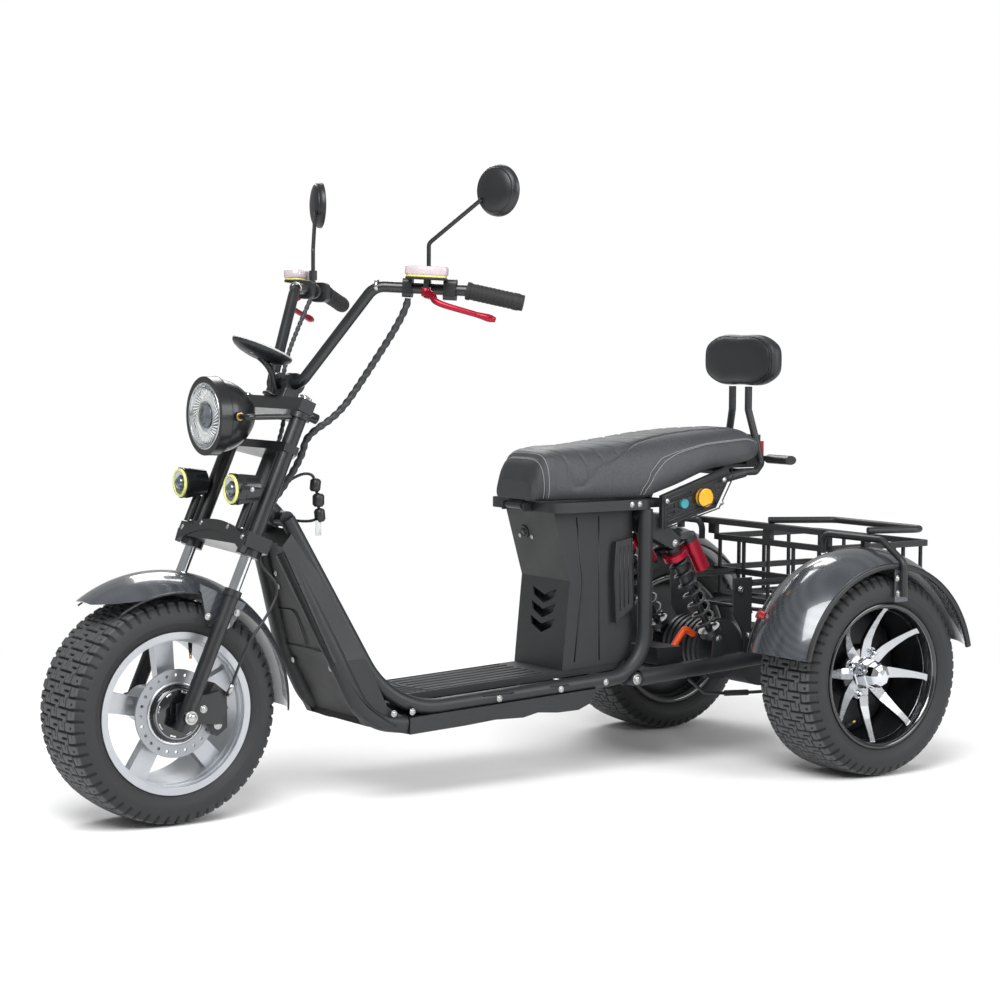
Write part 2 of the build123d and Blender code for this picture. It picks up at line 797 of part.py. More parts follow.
with BuildPart() as main_frame:
    for hand in sides:
        bent(rail_points(hand), (rail_bend, rail_tail_bend), rail_radius)
    rod(on_fork(-stem_set, 0, head_low), on_fork(-stem_set, 0, head_high), head_radius)
    rod(place(rail_top[0], -rail_top_half, rail_top[1]), place(rail_top[0], rail_top_half, rail_top[1]),
        rail_radius)
    rod(on_fork(-stem_set, 0, (head_low + head_high) / 2),
        place(rail_top[0], 0, rail_top[1]), neck_radius)
    for x, z in cross_places:
        rod(place(x, -rail_half, z), place(x, rail_half, z), cross_radius)
    rod(place(arm_pivot[0], -pivot_half, arm_pivot[1]), place(arm_pivot[0], pivot_half, arm_pivot[1]),
        pivot_radius)
    for hand in sides:
        for outline, inner in ((pivot_plate, rail_half - rail_radius),
                               (shock_plate, shock_half - shock_eye_half - seat_gap - frame_plate),
                               (shock_plate, shock_half + shock_eye_half + seat_gap)):
            with BuildSketch(side_plane(hand * inner)) as plate:
                with BuildLine():
                    Polyline(*outline, close=True)
                make_face()
            extrude(plate.sketch, amount=-hand * frame_plate)
    with BuildSketch(Plane(origin=on_fork(-stem_set, 0, head_low - cut_over), z_dir=fork.z_dir)) as bore:
        Circle(stem_radius + fit_gap)
    extrude(bore.sketch, amount=head_high - head_low + 2 * cut_over, mode=Mode.SUBTRACT)
save(main_frame.part, "main_frame")

# Grips over the ends of the bar
with BuildPart() as grips:
    for hand in sides:
        inner, outer = (place(x, hand * y, z) for x, y, z in (bar_grip_in, bar_grip_out))
        way = (outer - inner).normalized()
        rod(inner, outer + way * grip_end, grip_radius)
        rod(inner, inner + way * grip_end, grip_radius + grip_collar)
        with BuildSketch(Plane(origin=inner - way * grip_end, z_dir=way)) as bore:
            Circle(bar_radius + seat_gap)
        extrude(bore.sketch, amount=(outer - inner).length + grip_end + seat_gap, mode=Mode.SUBTRACT)
save(grips.part, "grips")


def along_bar(hand, share):
    """A point on the straight end of the bar, by share of the way to the grip."""
    start = place(bar_shoulder[0], hand * bar_shoulder[1], bar_shoulder[2])
    end = place(bar_grip_in[0], hand * bar_grip_in[1], bar_grip_in[2])
    return start + (end - start) * share


def control_plane(hand, share):
    """Plane square to the bar at a control: local y is up."""
    way = (along_bar(hand, 1) - along_bar(hand, 0)).normalized()
    across = Vector(0, 0, 1).cross(way).normalized()
    return Plane(origin=along_bar(hand, share), x_dir=across, z_dir=way)


# Switch pods and lever perches round the bar, with their brake fluid reservoirs
with BuildPart() as bar_controls:
    for hand in sides:
        for share, size in zip(pod_shares, pod_sizes):
            with BuildSketch(control_plane(hand, share)) as pod:
                RectangleRounded(size[0], size[1], size[0] * pod_corner_share)
                Circle(bar_radius + seat_gap, mode=Mode.SUBTRACT)
            extrude(pod.sketch, amount=size[2] / 2, both=True)
    for hand in sides:
        plane = control_plane(hand, perch_share)
        with BuildSketch(plane) as perch:
            Circle(bar_radius + perch_wall)
            with Locations((-hand * perch_reach / 2, 0)):
                Rectangle(perch_reach, perch_wall * 2)
            with Locations((-hand * reservoir_set, (reservoir_lift - reservoir_size[2] / 2) / 2)):
                Rectangle(perch_wall * 2, reservoir_lift - reservoir_size[2] / 2 - seat_gap * 2)
            with Locations((0, sum(perch_tower) / 2)):
                Rectangle(boot_radius, perch_tower[1] - perch_tower[0])
            Circle(bar_radius + seat_gap, mode=Mode.SUBTRACT)
        extrude(perch.sketch, amount=perch_wall, both=True)
save(bar_controls.part, "bar_controls")

with BuildPart() as reservoirs:
    for hand in sides:
        bar_end = control_plane(hand, perch_share)
        spot = bar_end.from_local_coords(Vector(-hand * reservoir_set, reservoir_lift, 0))
        with BuildSketch(Plane(origin=spot, x_dir=bar_end.z_dir)) as cup:
            RectangleRounded(reservoir_size[0], reservoir_size[1], reservoir_corner)
        extrude(cup.sketch, amount=reservoir_size[2] / 2, both=True)
save(reservoirs.part, "fluid_reservoirs")

# Brake levers: a blade from the perch, kicked forward and ending in a ball
with BuildPart() as levers:
    for hand in sides:
        perch = control_plane(hand, perch_share)
        root = perch.from_local_coords(Vector(-hand * lever_root, -perch_wall - seat_gap, 0))
        foot = root - perch.y_dir * lever_boss_high
        rod(root, foot, lever_ball)
        points = [(root + foot) / 2] + [place(x, hand * y, z) for x, y, z in lever_points]
        bent(points, lever_bend, lever_radius)
        way = (points[-1] - points[-2]).normalized()
        rod(points[-1] - way * lever_ball, points[-1] + way * lever_ball, lever_ball)
save(levers.part, "brake_levers")


def mirror_face(hand):
    """Plane of a mirror's glass, its normal pointing forward through the head."""
    normal = (cos(radians(mirror_turn)), hand * sin(radians(mirror_turn)), 0)
    centre = place(mirror_centre[0], hand * mirror_centre[1], mirror_centre[2])
    return Plane(origin=centre, x_dir=(-normal[1], normal[0], 0), z_dir=normal)


# Mirrors: a bent stem from the perch and a dished round head
with BuildPart() as mirrors:
    for hand in sides:
        perch_top = control_plane(hand, perch_share).from_local_coords(
            Vector(0, perch_tower[1] + seat_gap * 2, 0))
        boss = mirror_face(hand).from_local_coords(
            Vector(-hand * mirror_boss[0], mirror_boss[1], mirror_thick + mirror_stem + seat_gap))
        rod(perch_top, perch_top + Vector(0, 0, boot_length), boot_radius)
        bent([perch_top, perch_top + Vector(0, 0, mirror_rise), boss], mirror_bend, mirror_stem)
        with BuildSketch(mirror_face(hand)) as rim:
            Circle(mirror_radius)
        extrude(rim.sketch, amount=mirror_thick, taper=mirror_taper)
        with BuildSketch(mirror_face(hand)) as seat:
            Circle(mirror_radius - mirror_lip)
        extrude(seat.sketch, amount=mirror_lip, mode=Mode.SUBTRACT)
save(mirrors.part, "mirrors")

with BuildPart() as mirror_glass:
    for hand in sides:
        with BuildSketch(mirror_face(hand)) as glass:
            Circle(mirror_radius - mirror_lip - seat_gap)
        extrude(glass.sketch, amount=mirror_lip)
save(mirror_glass.part, "mirror_glass")

# Headlight bucket on its side arms, with bezel ring and glass
lamp_centre = on_fork(headlight_place[0], 0, headlight_place[1])
lamp_face = Plane(origin=lamp_centre, x_dir=(0, 1, 0), z_dir=(1, 0, 0))


def lamp_side(hand, y):
    """A point beside the headlight where its arm meets it."""
    return Vector(lamp_centre.X - bezel_depth - arm_width, hand * y, lamp_centre.Z + lamp_arm_lift)


with BuildPart() as headlight:
    with BuildSketch(lamp_face) as bucket:
        Circle(headlight_radius)
    extrude(bucket.sketch, amount=-bezel_depth)
    with BuildSketch(Plane(origin=lamp_centre, x_dir=(-1, 0, 0), z_dir=(0, 1, 0))) as bowl:
        with BuildLine():
            ThreePointArc((bezel_depth, headlight_radius - bucket_step), bucket_middle, bucket_rear)
            Polyline(bucket_rear, (headlight_depth, 0), (bezel_depth, 0),
                     (bezel_depth, headlight_radius - bucket_step))
        make_face()
    revolve(bowl.sketch, axis=Axis(lamp_centre, (1, 0, 0)))
    with BuildSketch(lamp_face.offset(-glass_depth)) as mouth:
        Circle(glass_radius + seat_gap)
    extrude(mouth.sketch, amount=glass_depth, mode=Mode.SUBTRACT)
    for hand in sides:
        rod(lamp_side(hand, headlight_radius / 2), lamp_side(hand, headlight_radius + boss_proud),
            boss_radius)
save(headlight.part, "headlight_bucket")

with BuildPart() as headlight_arms:
    for hand in sides:
        arm_up = (lamp_centre.Z + lamp_arm_lift - axle_z) / cos(radians(rake))
        start = on_fork(cover_radius + arm_bar, hand * fork_half, arm_up)
        start = Vector(start.X, start.Y, lamp_side(hand, 0).Z)
        rod(on_fork(0, hand * fork_half, arm_up - arm_bar), on_fork(0, hand * fork_half, arm_up + arm_bar),
            cover_radius + arm_bar)
        end = lamp_side(hand, headlight_radius + boss_proud + seat_gap)
        bent([start, Vector(end.X, start.Y, end.Z), end], arm_bend, arm_bar)
        rod(on_fork(0, hand * fork_half, arm_up - cut_over), on_fork(0, hand * fork_half, arm_up + cut_over),
            cover_radius + seat_gap, mode=Mode.SUBTRACT)
save(headlight_arms.part, "headlight_arms")

# Fog lamps: round bodies in a cage of six slotted plates, on feet over the lower crown
with BuildPart() as fog_lamps:
    for hand in sides:
        front = on_fork(fog_place[0], hand * fog_half, fog_place[1])
        with BuildSketch(Plane(origin=front, x_dir=(0, 1, 0), z_dir=(1, 0, 0))) as ring:
            Circle(fog_radius)
        extrude(ring.sketch, amount=-fog_depth, taper=fog_taper)
        with BuildSketch(Plane(origin=front - Vector(cage_set, 0, 0), x_dir=(0, 1, 0),
                               z_dir=(1, 0, 0))) as cage:
            RegularPolygon(cage_radius, cage_sides)
        extrude(cage.sketch, amount=-(fog_depth - cage_set), taper=cage_taper)
        for start, depth in cage_slots:
            with BuildSketch(Plane(origin=front - Vector(start, 0, 0), x_dir=(0, 1, 0),
                                   z_dir=(1, 0, 0))) as slots:
                with PolarLocations(cage_radius, cage_sides, start_angle=180 / cage_sides):
                    Rectangle(cage_window, cage_window)
            extrude(slots.sketch, amount=-depth, mode=Mode.SUBTRACT)
        rod(on_fork(fog_foot, hand * fog_half, crown_high), on_fork(fog_foot, hand * fog_half, fog_foot_high),
            fog_stem)
save(fog_lamps.part, "fog_lamps")

with BuildPart() as lenses:
    with BuildSketch(lamp_face.offset(-glass_depth)) as glass:
        Circle(glass_radius)
    extrude(glass.sketch, amount=glass_depth)
    for hand in sides:
        front = on_fork(fog_place[0], hand * fog_half, fog_place[1])
        with BuildSketch(Plane(origin=front, x_dir=(0, 1, 0), z_dir=(1, 0, 0))) as lens:
            Circle(fog_radius - fog_rim)
        extrude(lens.sketch, amount=fog_rim)
save(lenses.part, "lamp_lenses")

# Oval gauge on a stalk over the top clamp
gauge_plane = Plane(origin=on_fork(gauge_place[0], 0, gauge_place[1]), x_dir=(0, 1, 0),
                    z_dir=(-cos(radians(gauge_tilt)), 0, sin(radians(gauge_tilt))))
with BuildPart() as gauge:
    with BuildSketch(gauge_plane) as dial:
        Ellipse(gauge_size[0] / 2, gauge_size[1])
    extrude(dial.sketch, amount=-gauge_rim)
    with BuildSketch(gauge_plane.offset(-gauge_rim)) as case:
        Ellipse(gauge_size[0] / 2 - gauge_rim, gauge_size[1] - gauge_rim)
    extrude(case.sketch, amount=-(gauge_thick - gauge_rim))
    bent([on_fork(gauge_foot, 0, clamp_high + seat_gap), on_fork(gauge_foot, 0, gauge_place[1] - gauge_thick),
          on_fork(gauge_place[0], 0, gauge_place[1])], gauge_stalk, gauge_stalk)
save(gauge.part, "gauge")

# Front brake caliper on the left leg
with BuildPart() as caliper:
    with BuildSketch(wheel_face(front_x, front_hub_half - caliper_wall)) as shell:
        with BuildLine():
            Polyline(*[(r * cos(radians(a)), r * sin(radians(a))) for r, a in caliper_outline], close=True)
        make_face()
    extrude(shell.sketch, amount=caliper_width)
    with BuildSketch(wheel_face(front_x, front_hub_half - disc_play)) as slot:
        Circle(disc_radius + disc_play)
    extrude(slot.sketch, amount=disc_thick + 2 * disc_play, mode=Mode.SUBTRACT)
save(caliper.part, "front_caliper")


def shield_outline(inset=0):
    """Side outline of the leg shield, from its top down the front and under the floor."""
    return [(shield_front_top[0] - inset, shield_front_top[1]),
            (shield_front_low[0] - inset, shield_front_low[1] + inset / 2),
            (shield_curve[0] - inset / 2, shield_curve[1] + inset),
            (shield_belly[0], shield_belly[1] + inset),
            (shield_belly[0], rail_knee[1] - rail_radius),
            (shield_back_low[0], shield_back_low[1]), (shield_back_top[0], shield_back_top[1])]


def front_outline(trim):
    """Front outline of the leg shield: narrow at the neck and wide at the floor."""
    top, low = shield_top_half - trim, shield_half - trim
    return [(-top, shield_front_top[1] + cut_over), (top, shield_front_top[1] + cut_over),
            (low, shield_front_low[1]), (low, shield_belly[1] - cut_over),
            (-low, shield_belly[1] - cut_over), (-low, shield_front_low[1])]


front_view = Plane(origin=(front_x + cut_over, 0, 0), x_dir=(0, 1, 0), z_dir=(1, 0, 0))

# Leg shield: two round side mouldings with a recessed panel between them
with BuildPart() as shield_recess:
    with BuildSketch(side_plane()) as slab:
        with BuildLine():
            front, back = shield_outline()[:3], shield_outline(recess_depth)[:3]
            Polyline((front[0][0] + cut_over, front[0][1] + cut_over), (front[1][0] + cut_over, front[1][1]),
                     front[2], *reversed(back), close=True)
        make_face()
    extrude(slab.sketch, amount=shield_half, both=True)
    with BuildSketch(front_view) as outline:
        with BuildLine():
            Polyline(*front_outline(recess_trim), close=True)
        make_face()
    extrude(outline.sketch, amount=-wheelbase / 2, mode=Mode.INTERSECT)

with BuildPart() as leg_shield:
    with BuildSketch(side_plane()) as shell:
        with BuildLine():
            Polyline(*shield_outline(), close=True)
        make_face()
    extrude(shell.sketch, amount=shield_half, both=True)
    with BuildSketch(front_view) as outline:
        with BuildLine():
            Polyline(*front_outline(moulding_proud), close=True)
        make_face()
    extrude(outline.sketch, amount=-wheelbase / 2, mode=Mode.INTERSECT)
    add(shield_recess.part, mode=Mode.SUBTRACT)
    for hand in sides:
        bent([place(x, hand * y, z) for x, y, z in moulding_points], moulding_bend, moulding_radius)
    for hand in sides:
        bent(rail_points(hand), (rail_bend, rail_tail_bend), rail_radius + seat_gap, mode=Mode.SUBTRACT)
save(leg_shield.part, "leg_shield")

# Belly pan under the floor rails
with BuildPart() as belly_pan:
    with BuildSketch(side_plane()) as shell:
        with BuildLine():
            belly_front = shield_belly[0] - seat_gap
            under = cross_radius + seat_gap
            Polyline((belly_front, rail_z(belly_front) - under), (belly_front, shield_belly[1]), *belly_wave,
                     (belly_tail, rail_z(belly_tail) - under), close=True)
        make_face()
    extrude(shell.sketch, amount=shield_half, both=True)
    for hand in sides:
        bent(rail_points(hand), (rail_bend, rail_tail_bend), rail_radius + seat_gap, mode=Mode.SUBTRACT)
save(belly_pan.part, "belly_pan")


def floor_top(x):
    """Height of the floor's upper face."""
    return rail_z(x) + cross_radius + seat_gap + floor_thick


# Floor between the rails, resting on their cross tubes and kicked up in front
with BuildPart() as floor_board:
    with BuildSketch(side_plane()) as shell:
        with BuildLine():
            Polyline((box_rear, floor_top(box_rear)), (floor_front, floor_top(floor_front)),
                     (floor_front + floor_kick, floor_top(floor_front) + floor_kick),
                     (floor_front + floor_kick, floor_top(floor_front)),
                     (floor_front, floor_top(floor_front) - floor_thick),
                     (box_rear, floor_top(box_rear) - floor_thick), close=True)
        make_face()
    extrude(shell.sketch, amount=floor_half, both=True)
save(floor_board.part, "floor_board")


def box_outline(inset=0):
    """Side outline of the seat box."""
    return [(box_rear + inset, floor_top(box_rear) + seat_gap + inset),
            (box_front_low - inset, floor_top(box_front_low) + seat_gap + inset),
            (box_front_waist - inset, box_waist_z), (box_front_top - inset, box_top_z + inset),
            (box_rear + inset, box_top_z + inset)]


# Seat box: a kinked front, open at the top over the battery
with BuildPart() as seat_box:
    for inset, mode in ((0, Mode.ADD), (box_wall, Mode.SUBTRACT)):
        with BuildSketch(side_plane()) as shell:
            with BuildLine():
                Polyline(*box_outline(inset), close=True)
            make_face()
        extrude(shell.sketch, amount=box_half - inset, both=True, mode=mode)
    with BuildSketch(side_plane()) as scoops:
        with BuildLine():
            Polyline(*[(box_rear + x, z) for x, z in scoop_outline], close=True)
        make_face()
    for hand in sides:
        extrude(scoops.sketch, amount=hand * (box_half + scoop_depth))
    extrude(scoops.sketch, amount=box_half - box_wall, both=True, mode=Mode.SUBTRACT)
    with BuildSketch(Plane(origin=place(box_front_top, 0, 0), x_dir=(0, 1, 0), z_dir=(1, 0, 0))) as vents:
        for z in vent_heights:
            with BuildLine():
                Polyline((-vent_half, z), (0, z - vent_drop), (vent_half, z),
                         (vent_half - vent_slant, z - vent_high), (0, z - vent_drop - vent_high),
                         (vent_slant - vent_half, z - vent_high), close=True)
            make_face()
    extrude(vents.sketch, amount=-(box_front_top - box_front_waist + vent_reach), mode=Mode.SUBTRACT)
save(seat_box.part, "seat_box")

with BuildPart() as battery:
    battery_x = (box_rear + box_front_waist) / 2
    battery_low = floor_top(battery_x - battery_size[0] / 2) + box_wall + 2 * seat_gap
    with Locations(place(battery_x, 0, battery_low + battery_size[2] / 2)):
        Box(*battery_size)
save(battery.part, "battery")

# Seat ring: moulded rim round the top of the box, on the rails' upper ends
ring_z = rail_end_z + seat_gap
with BuildPart() as seat_ring:
    with BuildSketch(Plane.XY.offset(ring_z)) as ring:
        with Locations((rear_x + (ring_rear + ring_front) / 2, 0)):
            RectangleRounded(ring_front - ring_rear, 2 * ring_half, rim_width)
        with Locations((rear_x + (box_rear + box_front_top) / 2, 0)):
            Rectangle(box_front_top - box_rear + 2 * seat_gap, 2 * (box_half + seat_gap), mode=Mode.SUBTRACT)
    extrude(ring.sketch, amount=rim_depth)
    rod(place(seat_hinge[0], -hinge_half, seat_hinge[1]), place(seat_hinge[0], hinge_half, seat_hinge[1]),
        hinge_radius)
    for hand in sides:
        with BuildSketch(side_plane(hand * hinge_half)) as leaf:
            with BuildLine():
                Polyline((ring_front - hinge_leaf, ring_z), (seat_hinge[0] + knuckle_radius, ring_z),
                         (seat_hinge[0] + knuckle_radius, seat_hinge[1] + hinge_radius),
                         (seat_hinge[0] + hinge_radius, seat_hinge[1] + knuckle_radius),
                         (ring_front - hinge_leaf, seat_hinge[1] + knuckle_radius), close=True)
            make_face()
        extrude(leaf.sketch, amount=-hand * hinge_leaf)
save(seat_ring.part, "seat_ring")

# Tail frame: two rails from the ring back to the tail, joined by crosses, and the tail box on a plate
tail_centre = place(tail_box_place[0], 0, tail_box_place[1])


def tail_points(hand):
    """Corner points of one tail rail."""
    return [place(x, hand * tail_rail_half, z) for x, z in tail_rail]


with BuildPart() as tail_frame:
    for hand in sides:
        bent(tail_points(hand), tail_bend, tail_rail_radius)
    for x, z in (tail_rail[1], tail_rail[-1]):
        rod(place(x, -tail_rail_half, z), place(x, tail_rail_half, z), tail_cross_radius)
    plate_front = tail_rail[-1][0]
    plate_rear = tail_box_place[0] - tail_box[0] / 2
    with Locations(place((plate_front + plate_rear) / 2, 0,
                         tail_box_place[1] - (tail_box[2] + tail_plate) / 2 + tail_lap)):
        Box(plate_front - plate_rear, tail_box[1], tail_plate)
    with Locations(tail_centre):
        Box(*tail_box)
save(tail_frame.part, "tail_frame")

# Tail side panels with louvres, a round reflector and the charging socket
with BuildPart() as tail_panels:
    for hand in sides:
        with BuildSketch(side_plane(hand * tail_panel_half)) as panel:
            with BuildLine():
                Polyline(*tail_outline, close=True)
            make_face()
        extrude(panel.sketch, amount=hand * tail_panel_thick)
        with BuildSketch(side_plane(hand * tail_panel_half)) as slots:
            for louvre in louvres:
                with BuildLine():
                    Polyline(*louvre, close=True)
                make_face()
        extrude(slots.sketch, amount=hand * louvre_depth, mode=Mode.SUBTRACT)
        for x, z in panel_clips:
            rod(place(x, hand * (tail_panel_half - tail_panel_thick / 2), z),
                place(x, hand * (tail_rail_half + tail_rail_radius + seat_gap), z), clip_radius)
save(tail_panels.part, "tail_side_panels")

with BuildPart() as reflectors:
    for hand in sides:
        with BuildSketch(side_plane(hand * (tail_panel_half + seat_gap))) as face:
            with Locations(reflector_place):
                Circle(reflector_radius)
        extrude(face.sketch, amount=-hand * reflector_depth, taper=reflector_taper)
save(reflectors.part, "side_reflectors")

with BuildPart() as charge_port:
    with BuildSketch(side_plane(tail_panel_half + seat_gap)) as face:
        with Locations(port_place):
            Circle(port_radius)
    extrude(face.sketch, amount=-port_depth)
save(charge_port.part, "charge_port")

with BuildPart() as signals:
    for hand in sides:
        root = place(signal_place[0], hand * (tail_box[1] / 2 + seat_gap), signal_place[1])
        tip = root + Vector(0, hand * signal_stem, 0)
        rod(root, tip, signal_radius)
        with BuildSketch(Plane(origin=tip, x_dir=(1, 0, 0), z_dir=(0, hand, 0))) as lamp:
            Ellipse(signal_size[0] / 2, signal_size[1] / 2)
        extrude(lamp.sketch, amount=signal_length)
save(signals.part, "rear_turn_signals")

# Backrest: two tubes splayed from the tail rails up to the pad
with BuildPart() as backrest_frame:
    for hand in sides:
        bent([place(x, hand * y, z) for x, y, z in backrest_points], backrest_bend, backrest_radius)
save(backrest_frame.part, "backrest_frame")

with BuildPart() as backrest_pad:
    pad_plane = Plane(origin=place(pad_place[0] - pad_size[0] / 2, 0, pad_place[1]), x_dir=(0, 1, 0),
                      z_dir=(1, 0, 0))
    with BuildSketch(pad_plane) as pad:
        RectangleRounded(pad_size[1], pad_size[2], pad_corner)
    extrude(pad.sketch, amount=pad_size[0])
save(backrest_pad.part, "backrest_pad")


def seat_section(x, half, low, shoulder, top):
    """One upright section of the seat across the machine."""
    with BuildSketch(Plane(origin=place(x, 0, 0), x_dir=(0, 1, 0), z_dir=(1, 0, 0))) as section:
        with BuildLine():
            Polyline((half, shoulder), (half, low), (-half, low), (-half, shoulder))
            ThreePointArc((-half, shoulder), (0, top), (half, shoulder))
        make_face()
    return section.sketch


# Seat: a padded saddle lofted from flat-bottomed sections with crowned tops
with BuildPart() as seat:
    loft([seat_section(*row) for row in seat_sections], ruled=True)
save(seat.part, "seat")

with BuildPart() as seat_base:
    with BuildSketch(Plane.XY.offset(seat_low - seat_gap)) as sheet:
        with Locations((rear_x + (ring_rear + base_front) / 2, 0)):
            Rectangle(base_front - ring_rear, 2 * box_half)
    extrude(sheet.sketch, amount=-seat_base_wall)
    with BuildSketch(side_plane()) as tab:
        with BuildLine():
            Polyline((base_front - base_tab, seat_low - seat_gap), (base_front, seat_low - seat_gap),
                     (seat_hinge[0] + seat_base_wall, seat_hinge[1]),
                     (seat_hinge[0] - seat_base_wall, seat_hinge[1]),
                     (base_front - base_tab, seat_low - seat_gap - seat_base_wall), close=True)
        make_face()
    extrude(tab.sketch, amount=knuckle_half, both=True)
    rod(place(seat_hinge[0], -knuckle_half, seat_hinge[1]), place(seat_hinge[0], knuckle_half, seat_hinge[1]),
        knuckle_radius)
    rod(place(seat_hinge[0], -hinge_half, seat_hinge[1]), place(seat_hinge[0], hinge_half, seat_hinge[1]),
        hinge_radius + fit_gap, mode=Mode.SUBTRACT)
save(seat_base.part, "seat_base")

# Swingarm: two tubes from the pivot back to the axle housing
with BuildPart() as swingarm:
    for hand in sides:
        start = place(arm_pivot[0] - pivot_radius - bearing_gap, hand * arm_half, arm_pivot[1])
        rod(start, place(arm_rear[0], hand * arm_half, arm_rear[1]), arm_radius)
        with BuildSketch(side_plane(hand * (shock_half + shock_eye_half + seat_gap))) as lug:
            with BuildLine():
                Polyline((shock_low[0] - arm_radius, arm_rear[1] - arm_radius / 2),
                         (shock_low[0] + arm_radius, arm_rear[1] - arm_radius / 2),
                         (shock_low[0] + shock_eye, shock_low[1]),
                         (shock_low[0] - shock_eye, shock_low[1]), close=True)
            make_face()
            with Locations(shock_low):
                Circle(shock_eye - seat_gap)
        extrude(lug.sketch, amount=-hand * lug_width)
    rod(place(arm_cross, -arm_half, arm_cross_z), place(arm_cross, arm_half, arm_cross_z), cross_radius)
save(swingarm.part, "swingarm")

# Rear axle: tube, gear housing, drum back plates and the wheel spindles
with BuildPart() as axle_housing:
    rod((rear_x, -axle_tube_half, axle_z), (rear_x, axle_tube_half, axle_z), axle_tube_radius)
    rod((rear_x, -gear_half, axle_z), (rear_x, gear_half, axle_z), gear_radius)
    for hand in sides:
        rod((rear_x, hand * (axle_tube_half - drum_width), axle_z), (rear_x, hand * axle_tube_half, axle_z),
            drum_radius)
        spindle = rear_y + flange_half - blade_inset - blade_thick - seat_gap * 2
        rod((rear_x, hand * axle_tube_half, axle_z), (rear_x, hand * spindle, axle_z), rear_axle_radius)
save(axle_housing.part, "axle_housing")

# Drive motor: finned round case in front of the gear housing
motor_x = sqrt((gear_radius + motor_radius + seat_gap) ** 2 - motor_lift ** 2)
motor_z = axle_z + motor_lift
with BuildPart() as motor:
    rod(place(motor_x, -motor_half, motor_z), place(motor_x, motor_half, motor_z), motor_radius - fin_depth)
    pitch = 2 * motor_half / fin_count
    for fin in range(fin_count):
        y = -motor_half + pitch * fin
        rod(place(motor_x, y, motor_z), place(motor_x, y + pitch / 2, motor_z), motor_radius)
save(motor.part, "drive_motor")


def shock_frame(hand):
    """Plane at a shock's upper eye with its normal pointing down the shock."""
    top = place(shock_top[0], hand * shock_half, shock_top[1])
    low = place(shock_low[0], hand * shock_half, shock_low[1])
    return top, low, (low - top).normalized()


def reservoir_offset(way):
    """Step from a shock's axis back to its side reservoir."""
    return Vector(way.Z, 0, -way.X).normalized() * reservoir_set_back


# Shock absorbers: eyes, damper body, rod, collars, spring and side reservoir
with BuildPart() as shock_bodies:
    for hand in sides:
        top, low, way = shock_frame(hand)
        rod(top, low, damper_radius / 2)
        rod(top + way * shock_eye, top + way * body_length, damper_radius)
        for eye in (top, low):
            rod(eye - Vector(0, shock_eye_half, 0), eye + Vector(0, shock_eye_half, 0), shock_eye)
        rod(low - way * (shock_eye + collar_high), low - way * shock_eye, spring_radius)
        cap = top + reservoir_offset(way) + way * shock_eye
        rod(cap, cap + way * cap_depth, reservoir_radius)
        rod(top + way * (shock_eye + cap_depth / 2), cap + way * cap_depth / 2, bridge_radius)
save(shock_bodies.part, "shock_bodies")

with BuildPart() as shock_collars:
    for hand in sides:
        top, low, way = shock_frame(hand)
        rod(top + way * collar_start, top + way * (collar_start + collar_length), collar_radius)
        rod(top + way * (collar_start - seat_gap), top + way * (collar_start + collar_length + seat_gap),
            damper_radius + fit_gap, mode=Mode.SUBTRACT)
    for hand in sides:
        top, low, way = shock_frame(hand)
        start = top + reservoir_offset(way) + way * (shock_eye + cap_depth + seat_gap)
        rod(start, start + way * reservoir_length, reservoir_radius)
save(shock_collars.part, "shock_collars")

with BuildPart() as shock_springs:
    for hand in sides:
        top, low, way = shock_frame(hand)
        first = collar_start + collar_length + spring_wire + seat_gap
        last = (low - top).length - shock_eye - collar_high - spring_wire - seat_gap
        coil_radius = spring_radius - spring_wire
        route = Helix(pitch=(last - first) / spring_turns, height=last - first, radius=coil_radius,
                      center=top + way * first, direction=way)
        with BuildSketch(Plane(origin=route @ 0, z_dir=route % 0)) as wire:
            RegularPolygon(spring_wire, wire_sides)
        sweep(wire.sketch, path=route, is_frenet=True)
save(shock_springs.part, "shock_springs")

